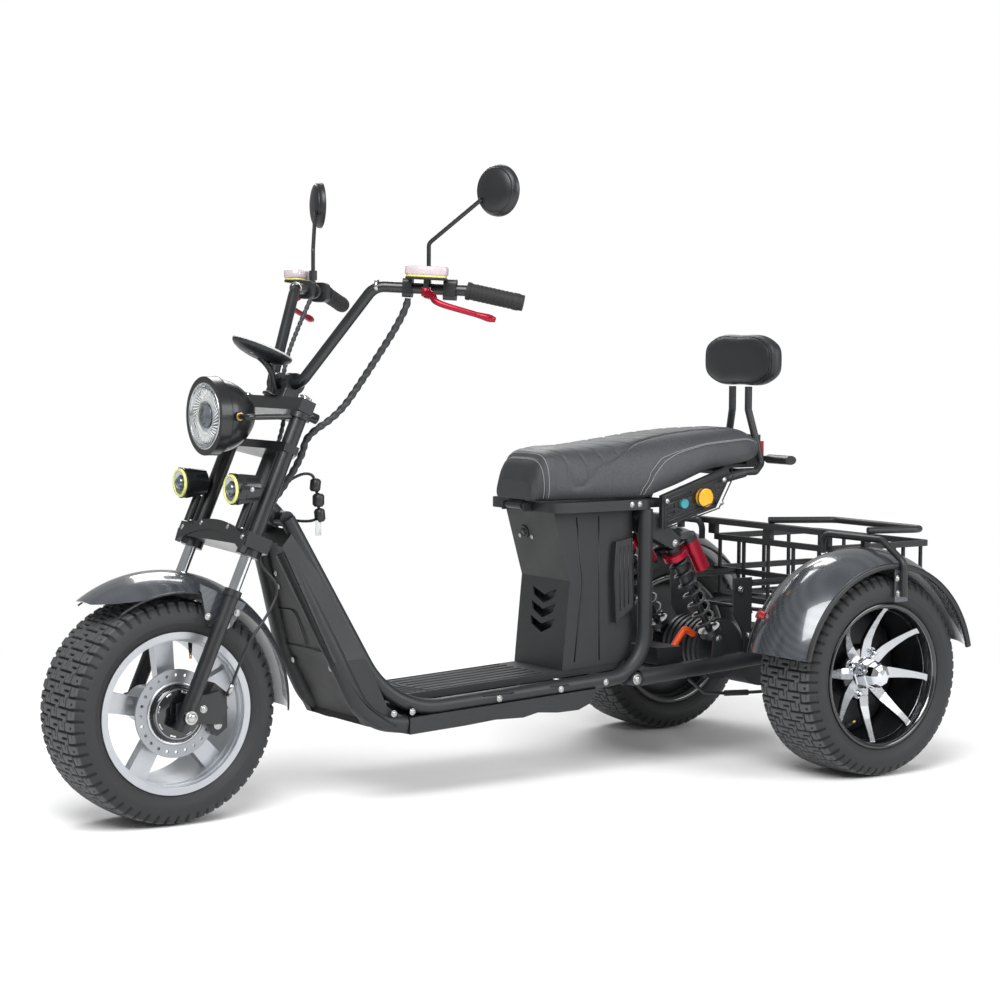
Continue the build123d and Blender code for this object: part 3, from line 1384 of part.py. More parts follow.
# Basket between the rear wheels: three rings, a deck of bars and uprights, in five flat sides
basket_rear = -rear_overhang + basket_bar
with BuildPart() as basket:
    for z in (basket_top, basket_mid, basket_low):
        with BuildSketch(Plane.XY.offset(z - basket_bar)) as ring:
            with Locations((rear_x + (basket_front + basket_rear) / 2, 0)):
                RectangleRounded(basket_front - basket_rear + 2 * basket_bar, 2 * (basket_half + basket_bar),
                                 basket_corner)
                RectangleRounded(basket_front - basket_rear - 2 * basket_bar, 2 * (basket_half - basket_bar),
                                 basket_corner - 2 * basket_bar, mode=Mode.SUBTRACT)
        extrude(ring.sketch, amount=2 * basket_bar)
    for upright in range(basket_uprights):
        y = (upright / (basket_uprights - 1) * 2 - 1) * (basket_half - basket_corner)
        for x in (basket_front, basket_rear):
            rod(place(x, y, basket_low), place(x, y, basket_top), basket_wire)
        rod(place(basket_front, y, basket_low), place(basket_rear, y, basket_low), basket_wire)
    for bar_no in range(side_uprights):
        x = basket_front + (bar_no + 1) / (side_uprights + 1) * (basket_rear - basket_front)
        for hand in sides:
            rod(place(x, hand * basket_half, basket_low), place(x, hand * basket_half, basket_top),
                basket_wire)
        rod(place(x, -basket_half, basket_low), place(x, basket_half, basket_low), basket_wire)
    with BuildSketch(Plane.XY.offset(basket_low + basket_bar)) as joints:
        for x, y, lean in ((basket_front, basket_half, 1), (basket_front, -basket_half, -1),
                           (basket_rear, basket_half, -1), (basket_rear, -basket_half, 1)):
            with Locations(Location((rear_x + x, y, 0), (0, 0, lean * corner_cut))):
                Rectangle(basket_corner * 2, seat_gap)
    extrude(joints.sketch, amount=basket_top, mode=Mode.SUBTRACT)
    with BuildSketch(Plane.XY.offset(basket_low + basket_bar)) as seam:
        with Locations((rear_x + (basket_front + basket_rear) / 2, 0)):
            Rectangle(rear_overhang, rear_track)
    extrude(seam.sketch, amount=seat_gap, mode=Mode.SUBTRACT)
save(basket.part, "rear_basket")

# Straps and tubes that carry the basket from the swingarm, and the round bar under its front
with BuildPart() as basket_legs:
    ring_face = basket_front + basket_bar + seat_gap
    arm_slope = (arm_rear[1] - arm_pivot[1]) / (arm_rear[0] - arm_pivot[0])
    strap_z = arm_rear[1] + (strap_foot[0] - arm_rear[0]) * arm_slope + arm_radius + seat_gap
    for hand in sides:
        with BuildSketch(side_plane(hand * (arm_half + strap_thick / 2))) as strap:
            with BuildLine():
                Polyline((strap_foot[0], strap_z), *strap_outline, (strap_foot[1], strap_z), close=True)
            make_face()
        extrude(strap.sketch, amount=hand * strap_thick)
        rod(place(ring_face, hand * arm_half, leg_z),
            place(strap_outline[0][0], hand * arm_half, leg_z), leg_bar)
    bent([place(ring_face, -arm_half, basket_low), place(loop_front, -arm_half, basket_low),
          place(loop_front, arm_half, basket_low), place(ring_face, arm_half, basket_low)],
         leg_bend, basket_wire)
save(basket_legs.part, "basket_legs")

arch_radius = (rear_fender_half ** 2 + (rear_fender_radius - rear_fender_edge) ** 2) / (
    2 * (rear_fender_radius - rear_fender_edge))


def fender_top(x, y):
    """Height of a rear fender's outer face, y to the side of its middle."""
    reach = rear_fender_radius - arch_radius + sqrt(arch_radius ** 2 - y ** 2)
    return axle_z + sqrt(reach ** 2 - x ** 2)


def loop_points():
    """Route of the round loop behind the flat bar, on the left half."""
    return [place(basket_front, 0, loop_z), place(basket_front - loop_reach, loop_cut, loop_z),
            place(basket_front - loop_reach, rail_flat_half + loop_swell, loop_z),
            place(basket_front, rail_flat_half - loop_radius, loop_z)]


# Flat bar over the fenders with its plates, and the round loop lying on it
with BuildPart() as fender_bar:
    with Locations(place(basket_front, 0, rail_flat_z)):
        Box(rail_flat_size[0], 2 * rail_flat_half, rail_flat_size[1])
    post = rail_flat_z - basket_top - basket_bar - seat_gap
    for y in (-basket_half, 0, basket_half):
        with Locations(place(basket_front, y, rail_flat_z - post / 2)):
            Box(rail_flat_size[1], rail_flat_size[0], post)
    for hand in sides:
        foot = fender_top(basket_front + stub_half, stub_inset - stub_half) + seat_gap
        with Locations(place(basket_front, hand * (rear_y - stub_inset), (rail_flat_z + foot) / 2)):
            Box(2 * stub_half, 2 * stub_half, rail_flat_z - foot)
    rod(place(basket_front, -bolt_out, rail_flat_z - cut_over),
        place(basket_front, -bolt_out, rail_flat_z + cut_over), bolt_hole, mode=Mode.SUBTRACT)
save(fender_bar.part, "fender_cross_bar")

with BuildPart() as carrier_loop:
    bent(loop_points(), loop_bend, loop_radius)
save(carrier_loop.part, "carrier_loop")

# Rear fenders with the hoops over them and their marker lamps
with BuildPart() as rear_fenders:
    for hand in sides:
        make_fender(rear_x, hand * rear_y, rear_fender_half, rear_fender_radius, rear_fender_edge,
                    rear_fender_start, rear_fender_sweep, fender_wall)
        with Locations(place(hoop_x, hand * (rear_y + rear_fender_half + fender_wall / 2 - tab_lap),
                             (tab_low + tab_high) / 2)):
            Box(tab_width, fender_wall, tab_high - tab_low)
save(rear_fenders.part, "rear_fenders")

with BuildPart() as hoops:
    for hand in sides:
        bent([place(hoop_x, hand * y, z) for y, z in hoop_points], hoop_bend, hoop_radius)
save(hoops.part, "fender_hoops")

with BuildPart() as markers:
    for hand in sides:
        lift, lean = radians(marker_lift), radians(marker_lean)
        ahead = Vector(cos(lift), 0, sin(lift))
        out = ahead * cos(lean) - Vector(0, hand * sin(lean), 0)
        middle = Vector(rear_x, hand * rear_y, axle_z) + ahead * (rear_fender_radius - arch_radius)
        foot = middle + out * (arch_radius + seat_gap)
        with BuildSketch(Plane(origin=foot, x_dir=(0, 1, 0), z_dir=out)) as lens:
            RectangleRounded(marker_size[1], marker_size[2], marker_corner)
        extrude(lens.sketch, amount=marker_size[0])
    with Locations(tail_centre - Vector((tail_box[0] + tail_lamp_size[0]) / 2 + seat_gap, 0, 0)):
        Box(*tail_lamp_size)
save(markers.part, "red_lamps")

# Control cables: the bundle from the left switch pod down to the crown, and the brake hose
with BuildPart() as control_cables:
    pod = control_plane(1, pod_shares[1])
    start = pod.from_local_coords(Vector(0, -pod_sizes[1][1] / 2 - seat_gap, 0))
    upper = [place(x, y, z) for x, y, z in bundle_upper]
    bent([start, start - pod.y_dir * bundle_drop] + upper + [on_fork(*point) for point in bundle_lower],
         bundle_bends, bundle_radius)
    bent([on_fork(*point) for point in hose_points], hose_bends, hose_radius)
save(control_cables.part, "control_cables")

# Junction box on the swingarm's cross tube, and the brake line that hangs under the axle
with BuildPart() as rear_cables:
    box_z = arm_cross_z + cross_radius + seat_gap + junction_size[2] / 2
    with Locations(place(arm_cross, junction_y, box_z)):
        Box(*junction_size)
    bent([place(*point) for point in line_points], line_bend, line_radius)
    rod(place(*line_points[2]), place(*line_points[3]), connector_radius)
save(rear_cables.part, "rear_cables")

with BuildPart() as motor_cable:
    cable_start = place(arm_cross - junction_size[0] / 2 - seat_gap, junction_y, box_z + cable_rise)
    outward = Vector(cos(radians(cable_angle)), 0, sin(radians(cable_angle)))
    motor_axis = place(motor_x, junction_y, motor_z)
    bent([cable_start, cable_start - Vector(cable_run, 0, 0),
          motor_axis + outward * (motor_radius + cable_stand),
          motor_axis + outward * (motor_radius + seat_gap)], motor_cable_bend, motor_cable_radius)
save(motor_cable.part, "motor_cable")
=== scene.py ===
"""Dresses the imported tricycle: treads, padding, wiring, small fittings and finishes.

Row frame in metres: +X forward, +Y to the rider's left, +Z up, the floor at z = 0.
"""
import math

import bmesh
import bpy
import numpy as np
from mathutils import Matrix, Vector


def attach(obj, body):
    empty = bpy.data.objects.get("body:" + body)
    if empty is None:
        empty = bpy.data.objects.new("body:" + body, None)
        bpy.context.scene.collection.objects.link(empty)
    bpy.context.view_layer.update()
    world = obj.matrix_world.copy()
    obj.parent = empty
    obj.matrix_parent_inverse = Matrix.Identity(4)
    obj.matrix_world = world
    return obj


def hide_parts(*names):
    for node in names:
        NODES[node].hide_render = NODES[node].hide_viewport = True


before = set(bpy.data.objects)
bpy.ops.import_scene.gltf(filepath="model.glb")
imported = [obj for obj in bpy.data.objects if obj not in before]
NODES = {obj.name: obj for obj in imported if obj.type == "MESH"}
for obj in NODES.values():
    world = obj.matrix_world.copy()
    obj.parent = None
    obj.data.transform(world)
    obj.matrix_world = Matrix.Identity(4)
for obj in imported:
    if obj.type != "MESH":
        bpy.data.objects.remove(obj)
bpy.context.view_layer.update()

MM = 0.001
REAR_X = -0.7215                 # rear axle
FRONT_X = 0.8865                 # front axle
AXLE_Z = 0.235
REAR_Y = 0.389                   # middle of a rear wheel
SIDES = (1, -1)
HANDS = ((1, "left"), (-1, "right"))
RAKE = math.radians(23.6)
FORK_AHEAD = np.array([math.cos(RAKE), 0, math.sin(RAKE)])
FORK_UP = np.array([-math.sin(RAKE), 0, math.cos(RAKE)])
LEFT = np.array([0.0, 1.0, 0.0])
UP = np.array([0.0, 0.0, 1.0])
AHEAD = np.array([1.0, 0.0, 0.0])


def at(x, y, z):
    """A point in metres from millimetres forward of the rear axle."""
    return np.array([REAR_X + x * MM, y * MM, z * MM])


def on_fork(ahead, y, up):
    """A point in metres from millimetres in the leaning frame of the fork."""
    axle = np.array([FRONT_X, 0, AXLE_Z])
    return axle + (ahead * FORK_AHEAD + y * LEFT + up * FORK_UP) * MM


def unit(vector):
    """A vector, or each of an array of them, divided by its length."""
    vector = np.asarray(vector, float)
    return vector / np.linalg.norm(vector, axis=-1, keepdims=True)


# Surfaces: every shape is a grid of points, and a piece joins one or more grids

def piece(name, patches, material, body, replaces=(), smooth=True):
    """Joins grids of points into one mesh: neighbours in a grid make a quad, grids that wrap
    close on themselves, and doubled points at seams and poles are merged."""
    points, faces, start = [], [], 0
    for grid, wrap in patches:
        rows, columns = grid.shape[:2]
        index = np.arange(rows * columns).reshape(rows, columns) + start
        if wrap:
            index = np.concatenate([index, index[:, :1]], axis=1)
        faces.append(np.stack([index[:-1, :-1], index[:-1, 1:], index[1:, 1:], index[1:, :-1]],
            axis=-1).reshape(-1, 4))
        points.append(grid.reshape(-1, 3))
        start += rows * columns
    mesh = bpy.data.meshes.new(name)
    mesh.from_pydata(np.concatenate(points).tolist(), [], np.concatenate(faces).tolist())
    work = bmesh.new()
    work.from_mesh(mesh)
    bmesh.ops.remove_doubles(work, verts=work.verts, dist=1e-6)
    bmesh.ops.dissolve_degenerate(work, edges=work.edges, dist=1e-7)
    bmesh.ops.recalc_face_normals(work, faces=work.faces)
    work.to_mesh(mesh)
    work.free()
    mesh.polygons.foreach_set("use_smooth", [smooth] * len(mesh.polygons))
    mesh.materials.append(material)
    made = bpy.data.objects.new(name, mesh)
    bpy.context.scene.collection.objects.link(made)
    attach(made, body)
    if replaces:
        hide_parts(*replaces)
    return made


def across(direction):
    """Two unit vectors square to a direction and to each other."""
    direction = unit(direction)
    side = np.cross(direction, UP if abs(direction[2]) < 0.9 else AHEAD)
    side = unit(side)
    return side, np.cross(direction, side)


def turned(profile, centre, axis, steps=48):
    """Surface of revolution: each (along, radius) of the profile in millimetres becomes a circle
    of that radius about the axis, that far along it."""
    profile = np.asarray(profile, float) * MM
    one, two = across(axis)
    lift = np.linspace(0, 2 * np.pi, steps, endpoint=False)
    ring = np.cos(lift)[:, None] * one + np.sin(lift)[:, None] * two
    grid = (np.asarray(centre) + profile[:, None, :1] * unit(axis)
        + profile[:, None, 1:] * ring[None])
    return grid, True


def capped(grid):
    """A grid whose rows are rings, closed by a point at the middle of its first and last ring."""
    ends = [np.repeat(grid[i].mean(axis=0)[None, None], grid.shape[1], axis=1) for i in (0, -1)]
    return np.concatenate([ends[0], grid, ends[1]]), True


def tube(path, radius, sides=12, ref=None):
    """A round bar: at each point of the path a circle square to its direction, closed at both
    ends.  The radius is in millimetres: one, one for each point, or one for each corner."""
    path = np.asarray(path, float)
    radius = np.asarray(radius, float) * MM
    if radius.ndim < 2:
        radius = np.broadcast_to(radius, len(path))[:, None]
    along = unit(np.gradient(path, axis=0))
    if ref is None:
        ref = np.eye(3)[np.argmin(np.abs(along).max(axis=0))]
    one = unit(ref - (along @ ref)[:, None] * along)
    two = np.cross(along, one)
    lift = np.linspace(0, 2 * np.pi, sides, endpoint=False)
    ring = np.cos(lift)[:, None] * one[:, None] + np.sin(lift)[:, None] * two[:, None]
    return capped(path[:, None] + radius[..., None] * ring)


def route(points, steps=10):
    """Points along the NURBS curve of order 3 that has these control points and starts and ends
    on the first and the last of them."""
    curve = bpy.data.curves.new("route", "CURVE")
    curve.dimensions = "3D"
    curve.resolution_u = steps
    spline = curve.splines.new("NURBS")
    spline.points.add(len(points) - 1)
    flat = np.concatenate([np.asarray(points, float), np.ones((len(points), 1))], axis=1)
    spline.points.foreach_set("co", flat.ravel())
    spline.order_u = 3
    spline.use_endpoint_u = True
    holder = bpy.data.objects.new("route", curve)
    mesh = bpy.data.meshes.new_from_object(holder)
    line = np.empty(len(mesh.vertices) * 3)
    mesh.vertices.foreach_get("co", line)
    bpy.data.objects.remove(holder)
    bpy.data.curves.remove(curve)
    bpy.data.meshes.remove(mesh)
    return line.reshape(-1, 3)


def twisted(path, base, proud, starts, pitch, sides=20):
    """A twisted bundle: around the path the radius is base plus proud times the cosine of
    starts times (the angle less one turn for each pitch), in millimetres."""
    run = np.concatenate([[0], np.cumsum(np.linalg.norm(np.diff(path, axis=0), axis=1))])
    fine = np.linspace(0, run[-1], int(run[-1] / 0.0018))
    path = np.stack([np.interp(fine, run, path[:, i]) for i in range(3)], axis=1)
    lift = np.linspace(0, 2 * np.pi, sides, endpoint=False)[None]
    reach = base + proud * np.cos(starts * (lift - 2 * np.pi * fine[:, None] / (pitch * MM)))
    return tube(path, reach, sides, LEFT)


def sector(profile, centre, start, end, steps=60):
    """A closed profile of (left, radius) in millimetres carried round a wheel's axle from one
    angle to the other, both in degrees up from straight ahead, with caps drawn in at the ends."""
    profile = np.asarray(profile, float) * MM
    lift = np.radians(np.linspace(start, end, steps))[:, None]
    grid = np.stack([centre[0] + profile[:, 1] * np.cos(lift), centre[1] + profile[:, 0] + 0 * lift,
        centre[2] + profile[:, 1] * np.sin(lift)], axis=-1)
    return capped(grid)


def prism(outline, origin, one, two, depth, edge=0.6):
    """A plate: an outline of (along one, along two) in millimetres, swept along depth, with a
    small chamfer and a cap drawn in to its middle at both ends."""
    outline = np.asarray(outline, float)
    middle = outline.mean(axis=0)
    reach = np.linalg.norm(outline - middle, axis=1, keepdims=True)
    inner = middle + (outline - middle) * np.maximum(reach - edge, 0) / reach
    length = np.linalg.norm(depth)
    way = np.asarray(depth) / length
    rows = []
    for flat, far in ((middle + outline * 0, 0), (inner, 0), (outline, edge * MM),
            (outline, length - edge * MM), (inner, length), (middle + outline * 0, length)):
        rows.append(np.asarray(origin) + flat[:, :1] * MM * one + flat[:, 1:] * MM * two
            + way * far)
    return np.stack(rows), True


def heads(places, normals, radius, height, sides=6, dome=0.5):
    """Bolt heads in millimetres: a short straight wall and a domed or flat top, turned on each
    place about its normal."""
    profile = [(-0.4, 0), (-0.4, radius), (height * (1 - dome), radius),
        (height * (1 - dome * 0.3), radius * 0.75), (height, radius * 0.35), (height, 0)]
    return [turned(profile, place, normal, sides) for place, normal in zip(places, normals)]


# Finishes

def linear(colour):
    """An sRGB hex colour as linear red, green, blue and alpha."""
    value = np.array([int(colour[i:i + 2], 16) for i in (1, 3, 5)]) / 255
    value = np.where(value <= 0.04045, value / 12.92, ((value + 0.055) / 1.055) ** 2.4)
    return (*value.tolist(), 1.0)


def add_node(tree, kind, inputs=None, **settings):
    """One node with its settings; each input is a plain value or a socket to link from."""
    made = tree.nodes.new(kind)
    for key, value in settings.items():
        setattr(made, key, value)
    for key, value in (inputs or {}).items():
        if isinstance(value, bpy.types.NodeSocket):
            tree.links.new(value, made.inputs[key])
        else:
            made.inputs[key].default_value = value
    return made


def finish(name, low, high, rough, grain=0.8, dent=0.1, drift=90, metal=0.0, patch=None, **sockets):
    """A finish on Object coordinates: its colour drifts between two shades over about `drift`
    millimetres, and a grain of `grain` millimetres dents it by about `dent` millimetres.
    `patch` may change the colour and height sockets before they reach the shader."""
    material = bpy.data.materials.new(name)
    material.use_nodes = True
    tree = material.node_tree
    shader = tree.nodes["Principled BSDF"]
    place = add_node(tree, "ShaderNodeTexCoord").outputs["Object"]
    wide = add_node(tree, "ShaderNodeTexNoise",
        {"Vector": place, "Scale": 1 / (drift * MM), "Detail": 3.0})
    colour = add_node(tree, "ShaderNodeMix",
        {"Factor": wide.outputs["Fac"], 6: linear(low), 7: linear(high)},
        data_type="RGBA").outputs[2]
    fine = add_node(tree, "ShaderNodeTexNoise",
        {"Vector": place, "Scale": 1 / (grain * MM), "Detail": 2.0})
    height = fine.outputs["Fac"]
    spread = add_node(tree, "ShaderNodeMapRange", {"Value": wide.outputs["Fac"], 1: 0.3, 2: 0.7,
        3: max(rough - 0.06, 0.02), 4: min(rough + 0.06, 1)}).outputs[0]
    if patch:
        colour, height = patch(tree, place, colour, height)
    bump = add_node(tree, "ShaderNodeBump",
        {"Height": height, "Distance": dent * MM, "Strength": 1.0})
    tree.links.new(colour, shader.inputs["Base Color"])
    tree.links.new(spread, shader.inputs["Roughness"])
    tree.links.new(bump.outputs["Normal"], shader.inputs["Normal"])
    shader.inputs["Metallic"].default_value = metal
    for key, value in sockets.items():
        shader.inputs[key.replace("_", " ").title().replace("Ior", "IOR")].default_value = value
    return material


def woven(tree, place, colour, height):
    """Twill print under lacquer: tows 4.5 mm wide at 45 degrees, light where floor(u) + floor(v) +
    floor(w) falls in half of every four steps, so the bright cells climb in diagonal steps."""
    turn = add_node(tree, "ShaderNodeMapping",
        {"Vector": place, "Rotation": (0.6, 0.5, math.pi / 4), "Scale": (1 / 0.0045,) * 3})
    part = add_node(tree, "ShaderNodeSeparateXYZ", {"Vector": turn.outputs[0]})
    cells = [add_node(tree, "ShaderNodeMath", {0: part.outputs[i]}, operation="FLOOR").outputs[0]
        for i in range(3)]
    light = cells[0]
    for operation, value in (("ADD", cells[1]), ("ADD", cells[2]), ("FLOORED_MODULO", 4.0),
            ("GREATER_THAN", 1.5)):
        light = add_node(tree, "ShaderNodeMath", {0: light, 1: value},
            operation=operation).outputs[0]
    return add_node(tree, "ShaderNodeMix", {"Factor": light, 6: colour, 7: linear("#4d5156")},
        data_type="RGBA").outputs[2], height


def pebbled(tree, place, height, size, reach):
    """Cells that many metres across with creases between them: the creases' share and the sum
    with a height."""
    cells = add_node(tree, "ShaderNodeTexVoronoi", {"Vector": place, "Scale": 1 / size},
        feature="DISTANCE_TO_EDGE").outputs["Distance"]
    crease = add_node(tree, "ShaderNodeMapRange", {"Value": cells, 2: reach}).outputs[0]
    total = add_node(tree, "ShaderNodeMath", {0: crease, 1: height}, operation="ADD")
    return crease, total.outputs[0]


def leather(tree, place, colour, height):
    """Pebbled hide: cells about 1.6 mm across, with painted shade darkening the creases."""
    crease, height = pebbled(tree, place, height, 0.0016, 0.25)
    # 1d1f22 is painted shade laid in the creases between the cells
    return add_node(tree, "ShaderNodeMix", {"Factor": crease, 6: linear("#1d1f22"), 7: colour},
        data_type="RGBA").outputs[2], height


def honeycomb(tree, place, colour, height):
    """Moulded grain of the covers: small raised cells about 2.4 mm across."""
    return colour, pebbled(tree, place, height, 0.0024, 0.15)[1]


def tread_highlight_and_shade(tree, place, colour, height):
    """Tyre rubber: a painted highlight makes the tread's block tops pale and painted shade keeps
    the grooves nearly black, as the mesh's `tone` says, 1 on a block's top, 0 on the wall and -1 in
    a groove."""
    tone = add_node(tree, "ShaderNodeAttribute", attribute_name="tone").outputs["Fac"]
    # 4b4c4e is a painted highlight on the block tops and #08080a is painted shade in the grooves
    for end, shade in ((1.0, "#4b4c4e"), (-1.0, "#08080a")):
        share = add_node(tree, "ShaderNodeMapRange", {"Value": tone, 2: end}).outputs[0]
        colour = add_node(tree, "ShaderNodeMix", {"Factor": share, 6: colour, 7: linear(shade)},
            data_type="RGBA").outputs[2]
    return colour, height


# Wheels: matt rubber with a painted highlight on its block tops and painted shade in its grooves,
# pale satin casting, deep wet black, bright cut faces, streaked disc
RUBBER = finish("moulded_tyre_rubber", "#1e1f21", "#2a2b2d", 0.66, grain=1.2, dent=0.06, drift=40,
    patch=tread_highlight_and_shade)
CAST = finish("cast_aluminium_satin", "#a9adb2", "#c3c6ca", 0.36, grain=1.0, dent=0.05, metal=0.85)
GLOSS_BLACK = finish("gloss_black_enamel", "#0d0e10", "#141518", 0.16, grain=2.0, dent=0.01,
    coat_weight=0.8)
BRIGHT = finish("machined_aluminium_face", "#b2b5b9", "#cfd2d5", 0.26, grain=0.6, dent=0.02,
    metal=0.9)
DISC = finish("turned_disc_steel", "#8d9196", "#a7aaae", 0.34, grain=0.5, dent=0.03, metal=0.9)
# Fenders and fork: twill under a clear sheen, soft black, mirror-bright tubes
WEAVE = finish("woven_print_lacquered", "#3a3d42", "#4a4e54", 0.22, grain=3.0, dent=0.01, metal=0.3,
    patch=woven, coat_weight=1.0, coat_roughness=0.04)
FORK_BLACK = finish("satin_black_paint", "#151618", "#1d1f21", 0.34, grain=1.5, dent=0.03,
    coat_weight=0.2)
CHROME = finish("polished_chrome", "#c9ccd0", "#dcdfe2", 0.1, grain=3.0, dent=0.005, metal=1.0)
# Frame and covers: dull textured grey-black, honeycomb grain, smooth black, flat mat and grips
CHARCOAL = finish("textured_powder_coat", "#1c1d20", "#27292c", 0.46, grain=0.9, dent=0.12)
SHIELD = finish("grained_black_moulding", "#191a1c", "#232527", 0.45, grain=1.2, dent=0.12,
    patch=honeycomb)
SMOOTH_PLASTIC = finish("smooth_black_moulding", "#18191b", "#222326", 0.38, grain=1.5, dent=0.04)
MAT = finish("ribbed_rubber_mat", "#1c1d1f", "#28292c", 0.66, grain=1.0, dent=0.1)
GRIP = finish("soft_black_rubber", "#151517", "#1f1f21", 0.7, grain=0.8, dent=0.08)
# Bars: milky pink cup, deep red metal, mirror; lamps and reflectors: glowing red and yellow
TINTED = finish("tinted_clear_cup", "#b3a4a9", "#c6b9bd", 0.18, grain=3.0, dent=0.01,
    coat_weight=0.5)
CRIMSON = finish("crimson_anodised", "#8f1029", "#ad1832", 0.28, grain=0.8, dent=0.02, metal=0.55)
MIRROR = finish("silvered_glass", "#cdd3d8", "#d7dce0", 0.04, grain=5.0, dent=0.001, metal=1.0)
RED_LENS = finish("red_moulded_lens", "#8f0d18", "#b5141f", 0.2, grain=2.0, dent=0.03,
    coat_weight=0.6)
AMBER = finish("amber_moulded_lens", "#e59a10", "#f5b822", 0.22, grain=2.0, dent=0.05,
    coat_weight=0.6)
# Small accents and hides: teal cap, mid-grey pebbled hide, darker nose, near-black pad
TURQUOISE = finish("turquoise_cap", "#2b7f88", "#46a2aa", 0.35, grain=2.0, dent=0.02)
HIDE = finish("stitched_synthetic_leather", "#4a4c50", "#57595d", 0.5, grain=0.7, dent=0.12,
    patch=leather)
HIDE_DARK = finish("dark_nose_leather", "#303235", "#3a3c40", 0.52, grain=0.7, dent=0.12,
    patch=leather)
PAD_HIDE = finish("black_pad_leather", "#141416", "#1d1e20", 0.42, grain=0.7, dent=0.1,
    patch=leather)
# Drive and wiring: rough dark iron, black wire, grey bolts, pale thread, orange sheath
CAST_DARK = finish("grey_cast_iron", "#2b2c2f", "#3b3d40", 0.5, grain=1.4, dent=0.15, metal=0.3)
WIRE = finish("black_coated_wire", "#17181a", "#242528", 0.35, grain=1.0, dent=0.05)
STEEL = finish("zinc_plated_steel", "#a5a7a6", "#c2c3c1", 0.3, grain=1.0, dent=0.03, metal=0.95)
THREAD = finish("pale_waxed_thread", "#9a9c9e", "#b7b9bb", 0.7, grain=0.6, dent=0.1)
ORANGE = finish("orange_cable_sheath", "#d8420c", "#ef5a1c", 0.45, grain=1.0, dent=0.04)
# Headlight: clear dome, silvered bowl, smoky lens, white guides, yellow-green ring
GLASS = finish("clear_lamp_cover", "#ffffff", "#fafcfc", 0.02, grain=6.0, dent=0.001,
    transmission_weight=1.0, ior=1.2)
REFLECTOR = finish("vacuum_coated_reflector", "#9ea2a6", "#c4c7ca", 0.12, grain=2.0, dent=0.02,
    metal=1.0)
PROJECTOR = finish("smoked_projector_lens", "#3a4046", "#6d757c", 0.05, grain=3.0, dent=0.01,
    metal=0.5, coat_weight=1.0)
PALE = finish("white_light_guides", "#e9eceb", "#f6f7f6", 0.3, grain=2.0, dent=0.01)
HALO = finish("yellow_green_ring_guide", "#c3cc5a", "#e6ea9a", 0.25, grain=2.0, dent=0.01,
    coat_weight=0.5)
# Gauge, cups and valves: pale bezel, black glass, yellow fluid, brass, mottled braid
PALE_RIM = finish("pale_grey_bezel", "#aeb2b0", "#c9ccca", 0.35, grain=1.0, dent=0.02)
DIAL = finish("dark_dial_glass", "#101214", "#1a1d20", 0.08, grain=4.0, dent=0.005, coat_weight=1.0)
FLUID = finish("yellow_brake_fluid", "#c9c44a", "#dcd66a", 0.2, grain=3.0, dent=0.01,
    coat_weight=0.6)
BRASS = finish("brass_fitting", "#a98b45", "#cbb06a", 0.3, grain=0.8, dent=0.03, metal=0.95)
BRAID = finish("braided_sleeve", "#1a1b1d", "#37393c", 0.5, grain=1.1, dent=0.4, drift=4)

LOOKS = {
    CAST: ("front_rim",),
    DISC: ("front_brake_disc",),
    WEAVE: ("front_fender", "rear_fenders"),
    FORK_BLACK: ("fork_covers", "fork_lower_legs", "fork_crown", "top_clamp", "handlebar",
        "headlight_arms", "headlight_bucket", "fog_lamps"),
    CHROME: ("fork_tubes",),
    CHARCOAL: ("main_frame", "swingarm", "tail_frame", "backrest_frame", "rear_basket",
        "fender_cross_bar", "fender_hoops", "axle_housing", "basket_legs", "carrier_loop"),
    SHIELD: ("leg_shield", "belly_pan", "seat_box", "seat_ring", "tail_side_panels"),
    SMOOTH_PLASTIC: ("bar_controls", "mirrors", "front_caliper", "rear_turn_signals",
        "seat_base", "battery"),
    MAT: ("floor_board",),
    GRIP: ("grips",),
    CRIMSON: ("shock_collars",),
    MIRROR: ("mirror_glass",),
    RED_LENS: ("red_lamps",),
    AMBER: ("side_reflectors",),
    TURQUOISE: ("charge_port",),
    CAST_DARK: ("drive_motor",),
    WIRE: ("shock_springs", "shock_bodies", "rear_cables"),
    ORANGE: ("motor_cable",),
}
for look, names in LOOKS.items():
    for name in names:
        NODES[name].data.materials.clear()
        NODES[name].data.materials.append(look)


# Tyres: a wheel's section carried round the axle, with the tread cut in by formula; millimetres

def near(value, low, high, edge):
    """1 between low and high, falling to 0 over `edge` outside them."""
    return np.clip(np.minimum(value - low, high - value) / edge + 1, 0, 1)


TREAD_ROWS = 30                  # blocks round the tyre
TREAD_DEEP = 5.5
TYRE_RADIUS = 235
CROWN_HALF = 78                  # half width of the tread
WALL_LOW = 192                   # below this radius the wall keeps its plain colour
TONE_DEPTH = 3.5                 # groove depth at which the painted shade turns the rubber black
